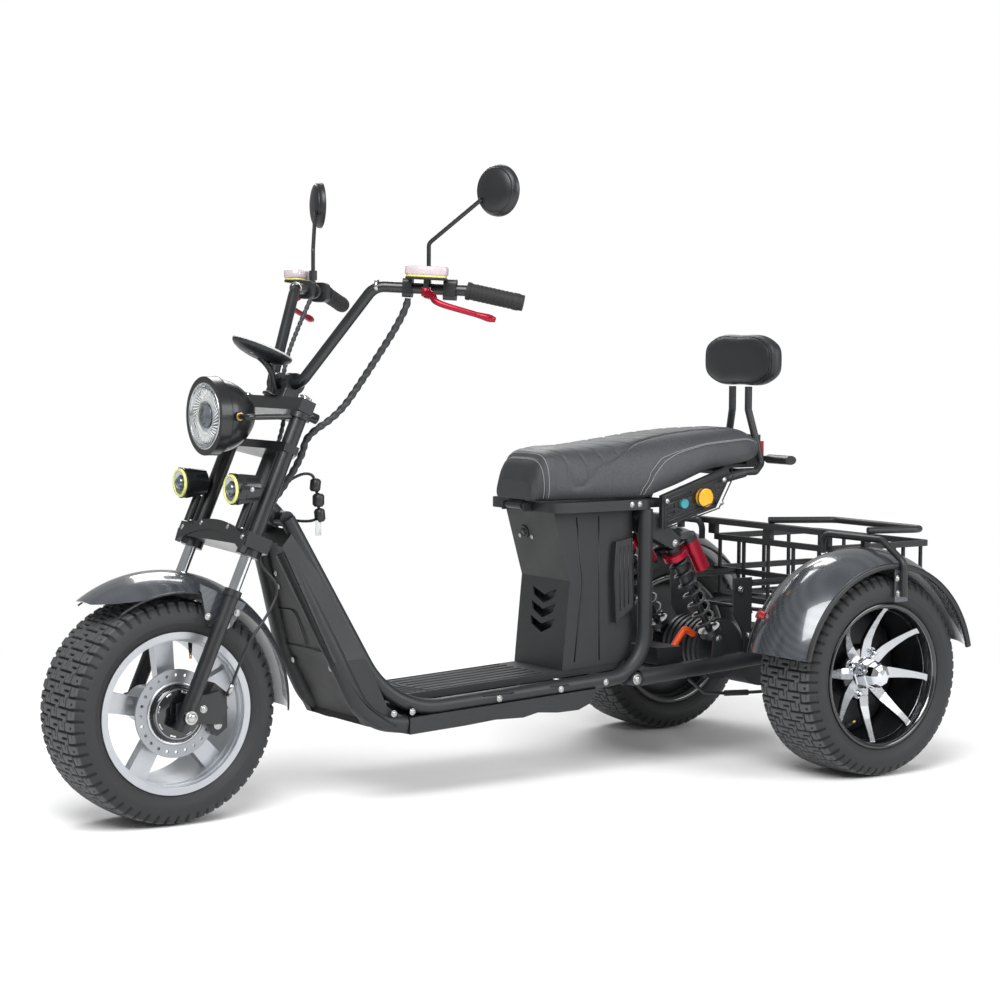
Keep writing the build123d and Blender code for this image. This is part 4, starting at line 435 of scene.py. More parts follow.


def tread(turn, side):
    """Depth of the grooves in millimetres: four grooves along the tyre that jog 9 mm sideways
    every half block, cross grooves that meet them in turn, column by column, and a hooked slit
    in each block; the shoulders carry short ribs across."""
    part = turn * TREAD_ROWS % 1
    jog = np.where(part < 0.5, 1.0, -1.0)
    field = 0
    for number, place in enumerate((-54, -18, 18, 54)):
        line = place + 4.5 * jog * (1 if number % 2 else -1)
        field = np.maximum(field, near(side, line - 1.7, line + 1.7, 0.9))
    column = np.floor((side + 54) / 36)
    shift = (part + np.where(column % 2 == 0, 0.5, 0.0)) % 1
    share = ((side + 54) / 36) % 1
    field = np.maximum(field, near(shift, 0.0, 0.047, 0.02))
    field = np.maximum(field, near(shift, 0.5, 0.547, 0.02) * near(share, 0.0, 0.6, 0.03))
    field = np.maximum(field, near(shift, 0.27, 0.547, 0.02) * near(share, 0.55, 0.63, 0.03))
    field = np.maximum(field, near(shift, 0.727, 0.774, 0.02) * near(share, 0.42, 1.0, 0.03))
    ribs = near(part, 0.0, 0.092, 0.03) + near(part, 0.5, 0.592, 0.03)
    shoulder = np.clip(ribs, 0, 1) * near(np.abs(side), 76, 100, 4)
    return TREAD_DEEP * np.maximum(field * near(np.abs(side), 0, 74, 2), 0.75 * shoulder)


def bulge(start, end, radius, steps):
    """Arc from start to end whose middle lies on the outer side of the chord."""
    start, end = np.asarray(start, float), np.asarray(end, float)
    chord = end - start
    half = np.linalg.norm(chord) / 2
    outward = np.array([-chord[1], chord[0]]) / (2 * half)
    outward = outward if outward[0] > 0 else -outward
    centre = (start + end) / 2 - outward * math.sqrt(radius ** 2 - half ** 2)
    lean = math.asin(half / radius) * np.linspace(-1, 1, steps)
    return centre + radius * (np.cos(lean)[:, None] * outward
        + np.sin(lean)[:, None] * chord / (2 * half))


def tyre(name, x, y, body, node):
    """The tyre's section: crown, shoulder and wall arcs, closed behind the beads, with two thin
    rings raised on the wall; the tread moves each outer point inward by the groove's depth, and the
    `tone` of each point says how deep it lies, which sets the painted highlight on the block tops
    and the painted shade in the grooves."""
    crown_y = np.linspace(0, CROWN_HALF, 44)
    crown = np.stack([crown_y, TYRE_RADIUS - 5 * (crown_y / CROWN_HALF) ** 2], axis=1)
    right = np.concatenate([crown, bulge((78, 230), (99, 193), 42, 13)[1:],
        bulge((99, 193), (84, 169.3), 45, 13)[1:], [(84, 158.3)]])
    ring = 1.1 * near(right[:, 1], 187.5, 188.5, 1.2) + 0.9 * near(right[:, 1], 174, 175, 1.2)
    right[:, 0] += ring * (right[:, 0] > 90)
    section = np.concatenate([right[::-1] * (-1, 1), right[1:]])
    run = np.concatenate([[0], np.cumsum(np.linalg.norm(np.diff(section, axis=0), axis=1))])
    run = run - run[len(run) // 2]
    steps = 22 * TREAD_ROWS
    turn = np.arange(steps) / steps
    low = section[:, None, 1] - tread(turn[None, :], run[:, None])
    lift = turn * 2 * np.pi
    grid = np.stack([x + low * MM * np.cos(lift), y + np.repeat(section[:, :1], steps, axis=1) * MM,
        AXLE_Z + low * MM * np.sin(lift)], axis=-1)
    made = piece(name, [(np.concatenate([grid, grid[:1]]), True)], RUBBER, body, (node,))
    spots = np.empty(len(made.data.vertices) * 3)
    made.data.vertices.foreach_get("co", spots)
    spots = spots.reshape(-1, 3) - (x, y, AXLE_Z)
    from_axle, aside = np.hypot(spots[:, 0], spots[:, 2]) / MM, np.abs(spots[:, 1]) / MM
    sunk = np.interp(aside, right[:56, 0], right[:56, 1]) - from_axle
    sunk = np.clip(sunk / TONE_DEPTH, 0, 1)
    # tone for painted light: 1 paints a highlight on a block's top, down to -1 paints shade in a
    # groove
    tone = np.where(aside < 84, 1 - 2 * sunk, -sunk) * (from_axle > WALL_LOW)
    made.data.attributes.new("tone", "FLOAT", "POINT").data.foreach_set("value", tone)
    return made


tyre("front_tread", FRONT_X, 0, "front_wheel", "front_tyre")
tyre("rear_tread_left", REAR_X, REAR_Y, "rear_wheel_left", "rear_tyre_left")
tyre("rear_tread_right", REAR_X, -REAR_Y, "rear_wheel_right", "rear_tyre_right")


def gauss(distance, width):
    """1 on the line, falling away as a bell of that width."""
    return np.exp(-(distance / width) ** 2)


def line_distance(one, two, lines):
    """Least distance from each point (one, two) to the straight runs of all the lines."""
    best = np.full(np.broadcast(one, two).shape, 1e9)
    for line in lines:
        line = np.asarray(line, float)
        for start, end in zip(line[:-1], line[1:]):
            way = end - start
            along = (one - start[0]) * way[0] + (two - start[1]) * way[1]
            share = np.clip(along / (way @ way), 0, 1)
            off_one, off_two = one - start[0] - share * way[0], two - start[1] - share * way[1]
            best = np.minimum(best, np.hypot(off_one, off_two))
    return best


# Saddle: forward of the rear axle, half width, lowest and top, in millimetres
SADDLE = np.array([(56, 88, 728, 773), (100, 110, 716, 794), (240, 127, 700, 791),
    (330, 126, 668, 784), (420, 122, 641.3, 773), (560, 112, 641.3, 758),
    (640, 102, 641.3, 757), (672, 94, 641.3, 750), (696, 84, 641.3, 722),
    (711, 70, 641.3, 684)], float)
SEAM_HALF = ((430, 1.0), (424, 0.95), (404, 0.88), (372, 0.84), (320, 0.81), (240, 0.79),
    (120, 0.78), (62, 0.78))
PANEL_EDGE = ((630, 0.84), (615, 0.9), (592, 0.9), (535, 0.815), (479, 0.656), (426, 0.45),
    (382, 0.37), (320, 0.31), (220, 0.26), (110, 0.24))
RIBS = ((625, 0.86, 662), (575, 0.87, 620), (530, 0.80, 576), (487, 0.68, 532), (443, 0.51, 487),
    (400, 0.395, 440), (358, 0.345, 396), (316, 0.31, 350), (274, 0.28, 304), (232, 0.265, 258),
    (190, 0.255, 212), (148, 0.25, 166))
STITCH_X = 673.0
HALF_ARC = 150.0                 # side of the saddle to its middle, over the top


def saddle_grid(length_steps=270, round_steps=170):
    """Saddle's skin: at each x a section whose side swells above the base and rolls into a
    flat crown, y = half * cos(b) ** 0.42 and z rising with sin(b); seams, the panel's edge and
    its ribs sink into it as bells about their lines."""
    x = np.concatenate([np.linspace(56, 660, length_steps - 60), np.linspace(661.5, 711, 60)])
    half, low, top = (np.interp(x, SADDLE[:, 0], SADDLE[:, i]) for i in (1, 2, 3))
    kernel = gauss(np.arange(-12, 13), 6.0)
    for row in (half, low, top):
        padded = np.pad(row, 12, mode="edge")
        row[6:-6] = np.convolve(padded, kernel / kernel.sum(), "valid")[6:-6]
    share = np.linspace(-1, 1, round_steps)
    lift = 90 * (1 - np.abs(share) ** 1.7) - 48 * np.maximum(np.abs(share) - 0.82, 0) / 0.18
    lift = np.radians(lift)
    up = np.sin(lift)
    wide = np.where(lift > 0, np.abs(np.cos(lift)) ** 0.42, 1 - 0.14 * up ** 2)
    middle = low + 0.30 * (top - low)
    y = np.sign(share)[None] * half[:, None] * wide[None]
    crown = (top - middle)[:, None] * np.maximum(up, 0)[None] ** 0.92
    belly = (middle - low)[:, None] * up[None] / math.sin(math.radians(48))
    z = middle[:, None] + np.where(up[None] > 0, crown, belly)
    s = np.abs(share)[None] * HALF_ARC
    edge = [[(a, b * HALF_ARC) for a, b in PANEL_EDGE]]
    ribs = [[(a, b * HALF_ARC), (c, 0)] for a, b, c in RIBS]
    seams = [[(a, b * HALF_ARC) for a, b in SEAM_HALF],
        [(STITCH_X + 9, 0), (STITCH_X + 9, HALF_ARC)]]
    sink = 3.4 * gauss(line_distance(x[:, None], s, edge), 2.8)
    sink = np.maximum(sink, 3.0 * gauss(line_distance(x[:, None], s, ribs), 2.6))
    sink = np.maximum(sink, 2.4 * gauss(line_distance(x[:, None], s, seams), 3.0))
    inside = np.interp(x, [a for a, _ in PANEL_EDGE[::-1]],
        [b * HALF_ARC for _, b in PANEL_EDGE[::-1]])
    puff = 1.6 * np.clip((inside[:, None] - s) / 12, 0, 1) * near(x, 115, 620, 25)[:, None]
    z = z + puff * np.maximum(up, 0)[None] - sink * np.maximum(up, 0)[None]
    y = y - np.sign(share)[None] * sink * np.cos(np.maximum(lift, 0))[None]
    grid = np.stack([np.broadcast_to(REAR_X + x[:, None] * MM, y.shape), y * MM, z * MM], axis=-1)
    return grid, x, share


skin, skin_x, skin_share = saddle_grid()
inward_share = np.linspace(1, 0, 7)[:, None, None]
base_grid = np.stack([skin[:, -1] * (1 - t) + skin[:, 0] * t for t in np.linspace(0, 1, 9)], axis=1)
front_cap, rear_cap = (skin[i] * inward_share + skin[i].mean(axis=0) * (1 - inward_share)
    for i in (-1, 0))
cut = np.searchsorted(skin_x, STITCH_X + 9)
cover = piece("saddle_cover", [(skin[:cut + 1], False), (base_grid, False), (rear_cap, True)], HIDE,
    "seat", ("seat",))
piece("saddle_nose", [(skin[cut:], False), (front_cap, True)], HIDE_DARK, "seat")


def stitches(line, out, pitch=4.2, radius=0.62):
    """Sewn thread: a thin round line just over the skin whose radius swells once a stitch."""
    run = np.concatenate([[0], np.cumsum(np.linalg.norm(np.diff(line, axis=0), axis=1))]) / MM
    fine = np.arange(0, run[-1], pitch / 6)
    points = np.stack([np.interp(fine, run, (line + out)[:, i]) for i in range(3)], axis=1)
    return tube(points, radius * (0.35 + 0.65 * np.abs(np.sin(fine / pitch * np.pi))), 6)


def skin_line(xs, shares):
    """Points of the saddle's skin at each (x, share of the way round), found between grid rows."""
    row = np.interp(xs, skin_x, np.arange(len(skin_x)))
    column = np.interp(shares, skin_share, np.arange(len(skin_share)))
    low, left = np.floor(row).astype(int), np.floor(column).astype(int)
    low, left = np.minimum(low, len(skin_x) - 2), np.minimum(left, len(skin_share) - 2)
    down, over = (row - low)[:, None], (column - left)[:, None]
    return ((skin[low, left] * (1 - over) + skin[low, left + 1] * over) * (1 - down)
        + (skin[low + 1, left] * (1 - over) + skin[low + 1, left + 1] * over) * down)


def outward(line, lift):
    """Steps away from the saddle's inner line, that many millimetres long."""
    heart = line * (1, 0, 0) + np.array([0, 0, 0.70])
    return unit(line - heart) * lift * MM


sewn = []
for offset in (3.5, 14.5):
    round_line = skin_line(np.full(150, STITCH_X + offset), np.linspace(-0.98, 0.98, 150))
    sewn.append(stitches(round_line, outward(round_line, 0.5)))
for hand in SIDES:
    for offset in (-5, 5):
        along_x = np.interp(np.linspace(0, 7, 120), range(8), [a + offset for a, _ in SEAM_HALF])
        across_q = np.interp(np.linspace(0, 7, 120), range(8),
            [b - 0.016 * (offset > 0) for _, b in SEAM_HALF])
        seam_line = skin_line(np.clip(along_x, 57, 700), hand * np.clip(across_q, 0, 0.98))
        sewn.append(stitches(seam_line, outward(seam_line, 0.5)))
piece("saddle_stitching", sewn, THREAD, "seat")


# Backrest pad: (x, y, z) half sizes in millimetres about its middle
PAD_MIDDLE = at(30, -4, 956)
PAD_HALF = (27, 131, 64)


def pad_ring(tilt, shrink=1.0, steps=128):
    """Outline of the pad at one depth: an eight-sided shape with soft corners, its radius the
    reach / (sum of the reaches to the eight sides ** 12) ** (1 / 12), that dips a little at the
    middle of its top and bottom, scaled by the cosine of the depth angle."""
    lift = np.linspace(0, 2 * np.pi, steps, endpoint=False)
    y, z = np.cos(lift), np.sin(lift)
    reach = (y ** 12 + z ** 12 + ((y + z) / 1.56) ** 12 + ((y - z) / 1.56) ** 12) ** (-1 / 12)
    y, z = y * reach, z * reach
    z = z * (1 - 0.06 * np.exp(-(y / 0.4) ** 2))
    scale = np.abs(np.cos(tilt)) ** 0.36 * shrink
    depth = np.sign(np.sin(tilt)) * np.abs(np.sin(tilt)) ** 0.8
    return PAD_MIDDLE + np.stack([0 * y + depth * PAD_HALF[0], y * scale * PAD_HALF[1],
        z * scale * PAD_HALF[2]], axis=1) * MM


tilts = np.pi / 2 * np.sin(np.linspace(-np.pi / 2, np.pi / 2, 90))
groove = 1 - 0.045 * gauss(np.degrees(tilts) - 34, 4) - 0.045 * gauss(np.degrees(tilts) + 34, 4)
pad = piece("backrest_cushion", [(np.stack([pad_ring(t, g) for t, g in zip(tilts, groove)]), True)],
    PAD_HIDE, "chassis", ("backrest_pad",))
welts = [pad_ring(np.radians(a), 0.985) for a in (34, -34)]
piece("backrest_welts", [tube(np.concatenate([w, w[:2]]), 2.0, 8) for w in welts], PAD_HIDE,
    "chassis")


# Rear wheels: barrel, eight blades that rise from a deep hub to the lip, lugs and cap

BLADE_COUNT = 8
# Radius, reach to the right, reach to the left and depth of a blade
BLADE = np.array([(36, 14, 15, 20), (52, 14, 15, 21), (78, 12.5, 13, 26), (104, 10, 10.5, 38),
    (128, 8, 8.5, 52), (146, 6.5, 8.5, 64), (153, 5.5, 11.5, 69), (160, 3.5, 12, 71)], float)


def blade(angle, hand, y, face, thick, trim=0.0):
    """One blade: at each radius a flat strip between its right and left edges, as deep as the
    table says, turned to its angle about the axle."""
    fine = np.linspace(0, len(BLADE) - 1, 40)
    radius, right, left, deep = (np.interp(fine, range(len(BLADE)), BLADE[:, i]) for i in range(4))
    bow = 10 * ((radius - 36) / 124) ** 2
    edges = [(-right + trim + bow, face), (left - trim + bow, face),
        (left - trim + bow, face - thick), (-right + trim + bow, face - thick)]
    out = np.array([math.cos(angle), math.sin(angle)])
    around = np.array([-math.sin(angle), math.cos(angle)])
    rows = []
    for offset, lift in edges:
        flat = radius[:, None] * out + (hand * offset)[:, None] * around
        rows.append(np.stack([REAR_X + flat[:, 0] * MM, y + hand * (1 + deep + lift) * MM,
            AXLE_Z + flat[:, 1] * MM], axis=1))
    return capped(np.stack(rows, axis=1))


def valve(name, cap_name, centre, turn, radius, aside, slant, stem_radii, cap_radii, lengths, body):
    """A rubber stem that stands off the rim's barrel at an angle round the wheel, with a brass
    cap; its three lengths in metres are measured from its root."""
    spoke = np.array([math.cos(turn), 0, math.sin(turn)])
    root = centre + spoke * radius + LEFT * aside
    way = unit(LEFT * slant - spoke)
    near_end, far_end, cap_end = (root + way * length for length in lengths)
    piece(name, [tube([root, near_end, far_end], stem_radii, 12)], GRIP, body)
    piece(cap_name, [tube([far_end, cap_end], cap_radii, 10)], BRASS, body)


RIM_SKIN = [(86, 169), (88, 168), (88, 162), (84, 158), (74, 155), (60, 152), (34, 148), (-20, 146),
    (-70, 148), (-87, 156), (-88, 168), (-85, 169), (-84, 158), (-60, 152), (-20, 152), (60, 157),
    (83, 158), (84, 168)]
STEP_RINGS = ([(80, 158.2), (82.5, 160), (84, 159.6), (83, 157.2), (80, 158.2)],
    [(57, 152.5), (58.5, 153.6), (60, 153), (59, 151.4), (57, 152.5)])
for hand, side in HANDS:
    wheel, y = "rear_wheel_" + side, hand * REAR_Y
    centre = np.array([REAR_X, y, AXLE_Z])
    out = LEFT * hand
    piece("rim_barrel_" + side, [turned(RIM_SKIN + RIM_SKIN[:1], centre, out, 120)], GLOSS_BLACK,
        wheel, ("rear_rim_" + side,))
    turns = [math.radians(2 + 360 / BLADE_COUNT * i) for i in range(BLADE_COUNT)]
    piece("blade_bodies_" + side, [blade(a, hand, y, 0, 9) for a in turns], GLOSS_BLACK, wheel,
        smooth=False)
    piece("blade_faces_" + side, [blade(a, hand, y, 0.9, 1.4, 0.7) for a in turns], BRIGHT, wheel,
        smooth=False)
    piece("hub_" + side, [turned([(-30, 0), (-30, 66), (8, 66), (14, 62), (20, 58), (21, 0)],
        centre, out, 64)], GLOSS_BLACK, wheel)
    piece("wheel_web_" + side,
        [turned([(-30, 40), (-34, 90), (-40, 120), (-42, 147), (-45, 147), (-43, 119), (-37, 90),
        (-33, 40)], centre, out, 96)], CAST_DARK, wheel)
    piece("step_ring_" + side, [turned(ring, centre, out, 120) for ring in STEP_RINGS], BRIGHT,
        wheel)
    lug_at = [centre + out * 0.020 + 0.051 * np.array([math.cos(a), 0, math.sin(a)])
        for a in (math.radians(24.5 + 90 * i) for i in range(4))]
    piece("lug_seats_" + side,
        [turned([(-6, 0), (-6, 12.5), (3, 12.5), (3.6, 11), (1, 9.5), (1, 0)], p, out, 28)
        for p in lug_at], BRIGHT, wheel)
    piece("lug_nuts_" + side,
        [turned([(0, 8.2), (9, 8), (14, 6.6), (17.5, 3.6), (18.6, 0)], p, out, 6) for p in lug_at],
        CHROME, wheel)
    piece("hub_cap_" + side,
        [turned([(20, 37), (26, 37), (28, 34), (54, 33), (56, 30), (74, 29), (78, 25), (81, 15),
        (82, 0)], centre, out, 8)], CHROME, wheel, smooth=False)
    valve("rear_valve_" + side, "rear_valve_cap_" + side, centre, -0.95, 0.146, 0.048 * hand,
        0.9 * hand, (4.5, 4, 2.6), (2.9, 2.7), (0.012, 0.022, 0.032), wheel)
    for name, edge in (("fender_lip_", [(105.2, 249.4), (109.4, 250), (109.4, 262), (105.6, 263)]),
            ("fender_inner_lip_", [(-105.2, 249.4), (-108, 250), (-108, 254), (-105.4, 255)])):
        piece(name + side, [sector([(hand * a, b) for a, b in edge], centre, 12, 168, 90)],
            SMOOTH_PLASTIC, "chassis")


# Small fittings

def turned_pieces(centre, axis, body, rows):
    """One turned piece for each row of name, steps round, material, slot and profile."""
    for name, steps, material, slot, profile in rows:
        piece(name, [turned(profile, centre, axis, steps)], material, body)


def bolts(name, body, rows, look_of=None):
    """Bolt heads on one body: each row is a place, the way it faces, its radius, its height and
    its number of sides."""
    patches = []
    for place, normal, radius, height, sides in rows:
        patches += heads([place], [normal], radius, height, sides)
        patches.append(turned([(0, 0), (0, radius * 1.35), (0.8, radius * 1.35), (1, radius * 1.2),
            (1, 0)], place, normal, 24))
    return piece(name, patches, look_of or STEEL, body)


SIDE_BOLTS = (                   # name, slot, half width, radius, height, sides and (x, z) places
    ("floor_bolts", "frame_charcoal", 137.2, 5.5, 3, 6, ((1116, 199), (1069, 199), (841, 209),
        (672, 216), (545, 222))),
    ("tail_screws", "shield_plastic", 143, 4.5, 2, 12, ((376, 632), (206, 676), (214, 622))),
    ("ring_screws", "shield_plastic", 136.8, 5, 3, 12, ((474, 627), (452, 627))),
    ("fender_tab_bolts", "fender_gloss", 496.6, 6, 4, 12, ((-19, 462), (-22, 428))),
    ("strap_bolts", "frame_charcoal", 129, 6, 4, 6, ((140, 412), (112, 300))),
    ("pivot_bolts", "frame_charcoal", 138, 9, 6, 6, ((456, 221),)),
    ("shock_bolts", "frame_charcoal", 121, 6.5, 4, 6, ((334, 530), (200, 298))),
    ("tail_bracket_bolts", "frame_charcoal", 28, 4.5, 3, 6, ((30, 760), (30, 722))))
for name, slot, y, radius, height, sides, places in SIDE_BOLTS:
    bolts(name, "chassis",
        [(at(x, h * y, z), LEFT * h, radius, height, sides) for h in SIDES for x, z in places])
bolts("shield_bolts", "chassis",
    [(at(1352 - 0.369 * (566 - z) - 11.5, h * y, z), unit(AHEAD - 0.2 * UP), 5, 2.5, 12)
    for h in SIDES for y, z in ((26, 500), (34, 470), (82, 300))])
piece("floor_slots", [prism([(-r, -2), (r, -2), (r + 2, 0), (r, 2), (-r, 2), (-r - 2, 0)],
    at(x, h * 136.6, z), AHEAD, UP, LEFT * h * 1.2 * MM)
    for h in SIDES for x, r, z in ((842, 40, 219), (676, 24, 224))], GRIP, "chassis")
bolts("bar_bolts", "steering",
    [(on_fork(-12, h * 31, 752), FORK_UP, 5, 4, 12) for h in SIDES]
    + [(on_fork(4, h * 126, 706), FORK_UP, 9, 4, 6) for h in SIDES])
bolts("lobe_bolts", "steering",
    [(on_fork(a, h * 118.4, u), LEFT * h, 5.5, 3.5, 12)
    for h in SIDES for a, u in ((30, 206), (-18, 204), (-30, 236))])
bolts("axle_bolts", "steering",
    [(on_fork(0, h * 151.4, 0), LEFT * h, 10.5, 6, 6) for h in SIDES]
    + [(on_fork(-24, 141.6, 26), LEFT, 6, 4, 12)])
bolts("caliper_bolts", "steering",
    [(on_fork(a, 105, u), LEFT, 7, 4, 6) for a, u in ((-58, 28), (-88, 8))])
bolts("lamp_bolts", "steering",
    [(on_fork(144, 0, 600) + np.array([-0.040, h * 0.0855, 0.001]), LEFT * h, 6.5, 5, 12)
    for h in SIDES], BRASS)
bolts("fog_bolts", "steering",
    [(on_fork(82, h * 116, 467) + np.array([-0.030, h * 0.033, 0.0]), LEFT * h, 3.6, 2.5, 12)
    for h in SIDES] + [(on_fork(34, h * 116 + s * 12, 399), FORK_UP, 3.5, 4, 6) for h in SIDES
    for s in SIDES])
bolts("crown_bolts", "steering",
    [(on_fork(31.2, h * y, 384 if y > 100 else 400), FORK_AHEAD, 4.5, 3, 12) for h in SIDES
    for y in (60, 136)])

# Front wheel: hub slots, bright ring and the valve
hub = np.array([FRONT_X, 0, AXLE_Z])
turned_pieces(hub, LEFT, "front_wheel", [
    ("hub_ring", 96, BRIGHT, "disc_steel", [(82.2, 60), (82.2, 66), (83.4, 66.4), (84.4, 64),
        (84.4, 60), (82.2, 60)]),
    ("hub_dome", 96, GLOSS_BLACK, "disc_steel", [(82.5, 59.4), (88, 57), (92, 54), (94.1, 50),
        (94.4, 20), (94.4, 9)])])
piece("hub_slots",
    [sector([(93.6, 44.5), (94.9, 44.5), (94.9, 48.5), (93.6, 48.5)], hub, a, a + 17, 8)
    for a in range(8, 360, 45)], BRIGHT, "front_wheel")
valve("front_valve", "front_valve_cap", hub, 1.9, 0.147, 0.052, 0.7, (4.6, 4, 2.6), (3, 2.8),
    (0.014, 0.026, 0.036), "front_wheel")
for hand, side in HANDS:
    bead = [(hand * 101, 250), (hand * 104.5, 249.6), (hand * 105, 252.6), (hand * 101.5, 254)]
    piece("front_fender_bead_" + side, [sector(bead, hub, 58, 182, 80)], SMOOTH_PLASTIC, "steering")

# Headlight: fluted reflector with bright fins, a dark centre with its bulb and a domed glass
lamp = on_fork(144, 0, 600)
piece("lamp_reflector", [turned([(-2, 69.4), (-5, 66), (-9, 58), (-11.6, 44), (-11.8, 0)], lamp,
    AHEAD, 96)], REFLECTOR, "steering", ("lamp_lenses",))
turned_pieces(lamp, AHEAD, "steering", [
    ("lamp_bulb", 48, PROJECTOR, "chrome", [(-11, 26), (-8, 26), (-6.4, 22), (-6.4, 16), (-4, 13),
        (-2.6, 7), (-2.2, 0)]),
    ("lamp_rim", 96, BRIGHT, "chrome", [(-3, 69.8), (0.6, 70.4), (1.4, 69), (1.2, 66.8), (-2, 66)]),
    ("lamp_glass", 64, GLASS, "lamp_clear", [(0.2, 69.2), (1.8, 60), (3.4, 44), (4.6, 24), (5, 0)]),
    ("bucket_seam", 96, GRIP, "fork_black", [(-27.5, 78.2), (-26.4, 79.4), (-25.4, 83.4),
        (-24.6, 83.5)])])
fins = []
for turn in np.linspace(0, 2 * np.pi, 44, endpoint=False):
    out_way = np.array([0, math.cos(turn), math.sin(turn)])
    skew = np.array([0, math.cos(turn + 0.34), math.sin(turn + 0.34)])
    start, end = lamp + out_way * 0.031, lamp + skew * 0.056
    fins.append(tube([start + AHEAD * -0.009, (start + end) / 2 + AHEAD * -0.0078,
        end + AHEAD * -0.0066], (1.0, 1.5, 1.9), 6))
piece("lamp_fins", fins, PALE, "steering")
for hand, side in HANDS:
    face = on_fork(82, hand * 116, 467)
    turned_pieces(face, AHEAD, "steering", [
        ("fog_halo_" + side, 72, HALO, "lamp_clear", [(0.5, 30.5), (3.6, 30.6), (5.4, 29),
            (5.4, 26), (3, 24.6), (0.5, 24.5)]),
        ("fog_bowl_" + side, 48, REFLECTOR, "chrome", [(3, 24.4), (1.0, 20), (-1, 14.5), (-1, 0)]),
        ("fog_lens_" + side, 40, PROJECTOR, "lamp_clear", [(-0.5, 14.2), (4, 13.6), (8, 11),
            (11, 6), (12, 0)])])

# Gauge: a rounded pan with a pale rim round its dark dial, and a blank label under it
tilt = math.radians(68)
gauge_out = np.array([-math.cos(tilt), 0, math.sin(tilt)])
gauge_fore = np.cross(LEFT, gauge_out)
gauge_at = on_fork(73, 0, 785)


def oval(profile, steps=96):
    """Each (height, share) of the profile is an ellipse 96 by 144 mm scaled by its share."""
    lift = np.linspace(0, 2 * np.pi, steps, endpoint=False)
    rows = [gauge_at + gauge_out * high * MM + (np.cos(lift)[:, None] * 48 * LEFT
        + np.sin(lift)[:, None] * 72 * gauge_fore) * share * MM for high, share in profile]
    return np.stack(rows), True


piece("gauge_pan",
    [oval([(-1, 1.0), (-6, 0.985), (-12, 0.9), (-18, 0.72), (-22.5, 0.45), (-23.5, 0)])],
    SMOOTH_PLASTIC, "steering", ("gauge",))
piece("gauge_rim",
    [oval([(-2, 1.005), (0.6, 1.0), (2.4, 0.975), (2.4, 0.93), (0.4, 0.9), (-2, 1.005)])], PALE_RIM,
    "steering")
piece("gauge_dial", [oval([(0.4, 0.92), (1.2, 0.9), (1.6, 0.5), (1.7, 0)])], DIAL, "steering")
piece("gauge_label", [prism([(-9, -6), (9, -6), (9, 6), (-9, 6)],
    gauge_at - gauge_out * 0.0205 + gauge_fore * 0.022 + LEFT * 0.012, gauge_fore, LEFT,
    -gauge_out * 0.0012)], PALE_RIM, "steering")
piece("gauge_stem",
    [tube(route([on_fork(14, 0, 700.3), on_fork(14, 0, 752), gauge_at - gauge_out * 0.02]), 7, 16),
    turned([(0, 0), (0, 20), (4, 20), (6, 16), (6, 0)], on_fork(14, 0, 700.3), FORK_UP, 32),
    tube(route([on_fork(10, 16, 700), on_fork(30, 22, 740),
    gauge_at - gauge_out * 0.02 + LEFT * 0.01]), 2.6, 10)], FORK_BLACK, "steering")

# Bars: ribbed grips, blade levers, twisted cable bundle and hoses


def bar_point(hand, share):
    """A point on the straight end of the bar, by share of the way from the shoulder to the grip."""
    start, end = at(1186, hand * 170, 1116), at(1037, hand * 295, 1107)
    return start + (end - start) * share


for hand, side in HANDS:
    inner, outer = at(1037, hand * 295, 1107), at(952, hand * 366, 1083)
    way = unit(outer - inner)
    run = np.linspace(4, 113, 220)
    rings = np.sin(run / 9 * 2 * np.pi) > -0.2
    wave = 0.55 * rings * near(run, 16, 96, 2) + 0.9 * near(run, 100, 111, 1.5)
    piece("grip_sleeve_" + side, [tube(inner + way * run[:, None] * MM, 17.25 + wave, 40)], GRIP,
        "steering")
    along = unit(bar_point(hand, 1) - bar_point(hand, 0))
    fore = unit(np.cross(along, UP)) * hand
    top = np.cross(along, fore)
    top = top * np.sign(top[2])
    perch = bar_point(hand, 0.58)
    lever = route([perch + fore * 0.036 - top * 0.012,
        perch + fore * 0.046 - top * 0.013 + along * 0.018, at(1130, hand * 312, 1082),
        at(1080, hand * 348, 1064), at(1022, hand * 380, 1046)], 12)
    swell = np.interp(np.linspace(0, 1, len(lever)), (0, 0.12, 0.3, 0.9, 0.94, 0.97, 1),
        (9, 9.5, 7.2, 6, 7.4, 8.6, 5))
    piece("lever_" + side, [tube(lever, swell, 18),
        turned([(-9, 0), (-9, 8), (-8, 9), (8, 9), (9, 8), (9, 0)],
        perch + fore * 0.036 - top * 0.008, top, 28)], CRIMSON, "steering",
        ("brake_levers",) if hand > 0 else ())
    bolts("perch_bolts_" + side, "steering",
        [(perch + fore * 0.036, top, 4.5, 3, 6),
        (perch + fore * 0.021 + along * 0.004, fore, 3.5, 3, 6),
        (perch + top * 0.018, top, 4, 3, 12)])
    cup = perch + fore * 0.036 + top * 0.018
    box = np.array([(-38, -20), (38, -20), (44, -13), (44, 13), (38, 20), (-38, 20), (-44, 13),
        (-44, -13)])
    piece("cup_base_" + side, [prism(box * 0.97, cup, along, fore, top * 0.005, 1)], GRIP,
        "steering", ("fluid_reservoirs",) if hand > 0 else ())
    piece("cup_fluid_" + side, [prism(box * 0.95, cup + top * 0.005, along, fore, top * 0.004, 1)],
        FLUID, "steering")
    piece("cup_lid_" + side, [prism(box, cup + top * 0.009, along, fore, top * 0.019, 3)], TINTED,
        "steering")
    piece("mirror_back_" + side,
        [turned([(0.5, 53.9), (6, 53.6), (12, 50), (18, 42), (21.5, 28), (22.8, 12), (23, 0)],
        at(1006, hand * 368, 1313), unit(np.array([math.cos(0.2967), hand * math.sin(0.2967), 0])),
        72)], SMOOTH_PLASTIC, "steering")

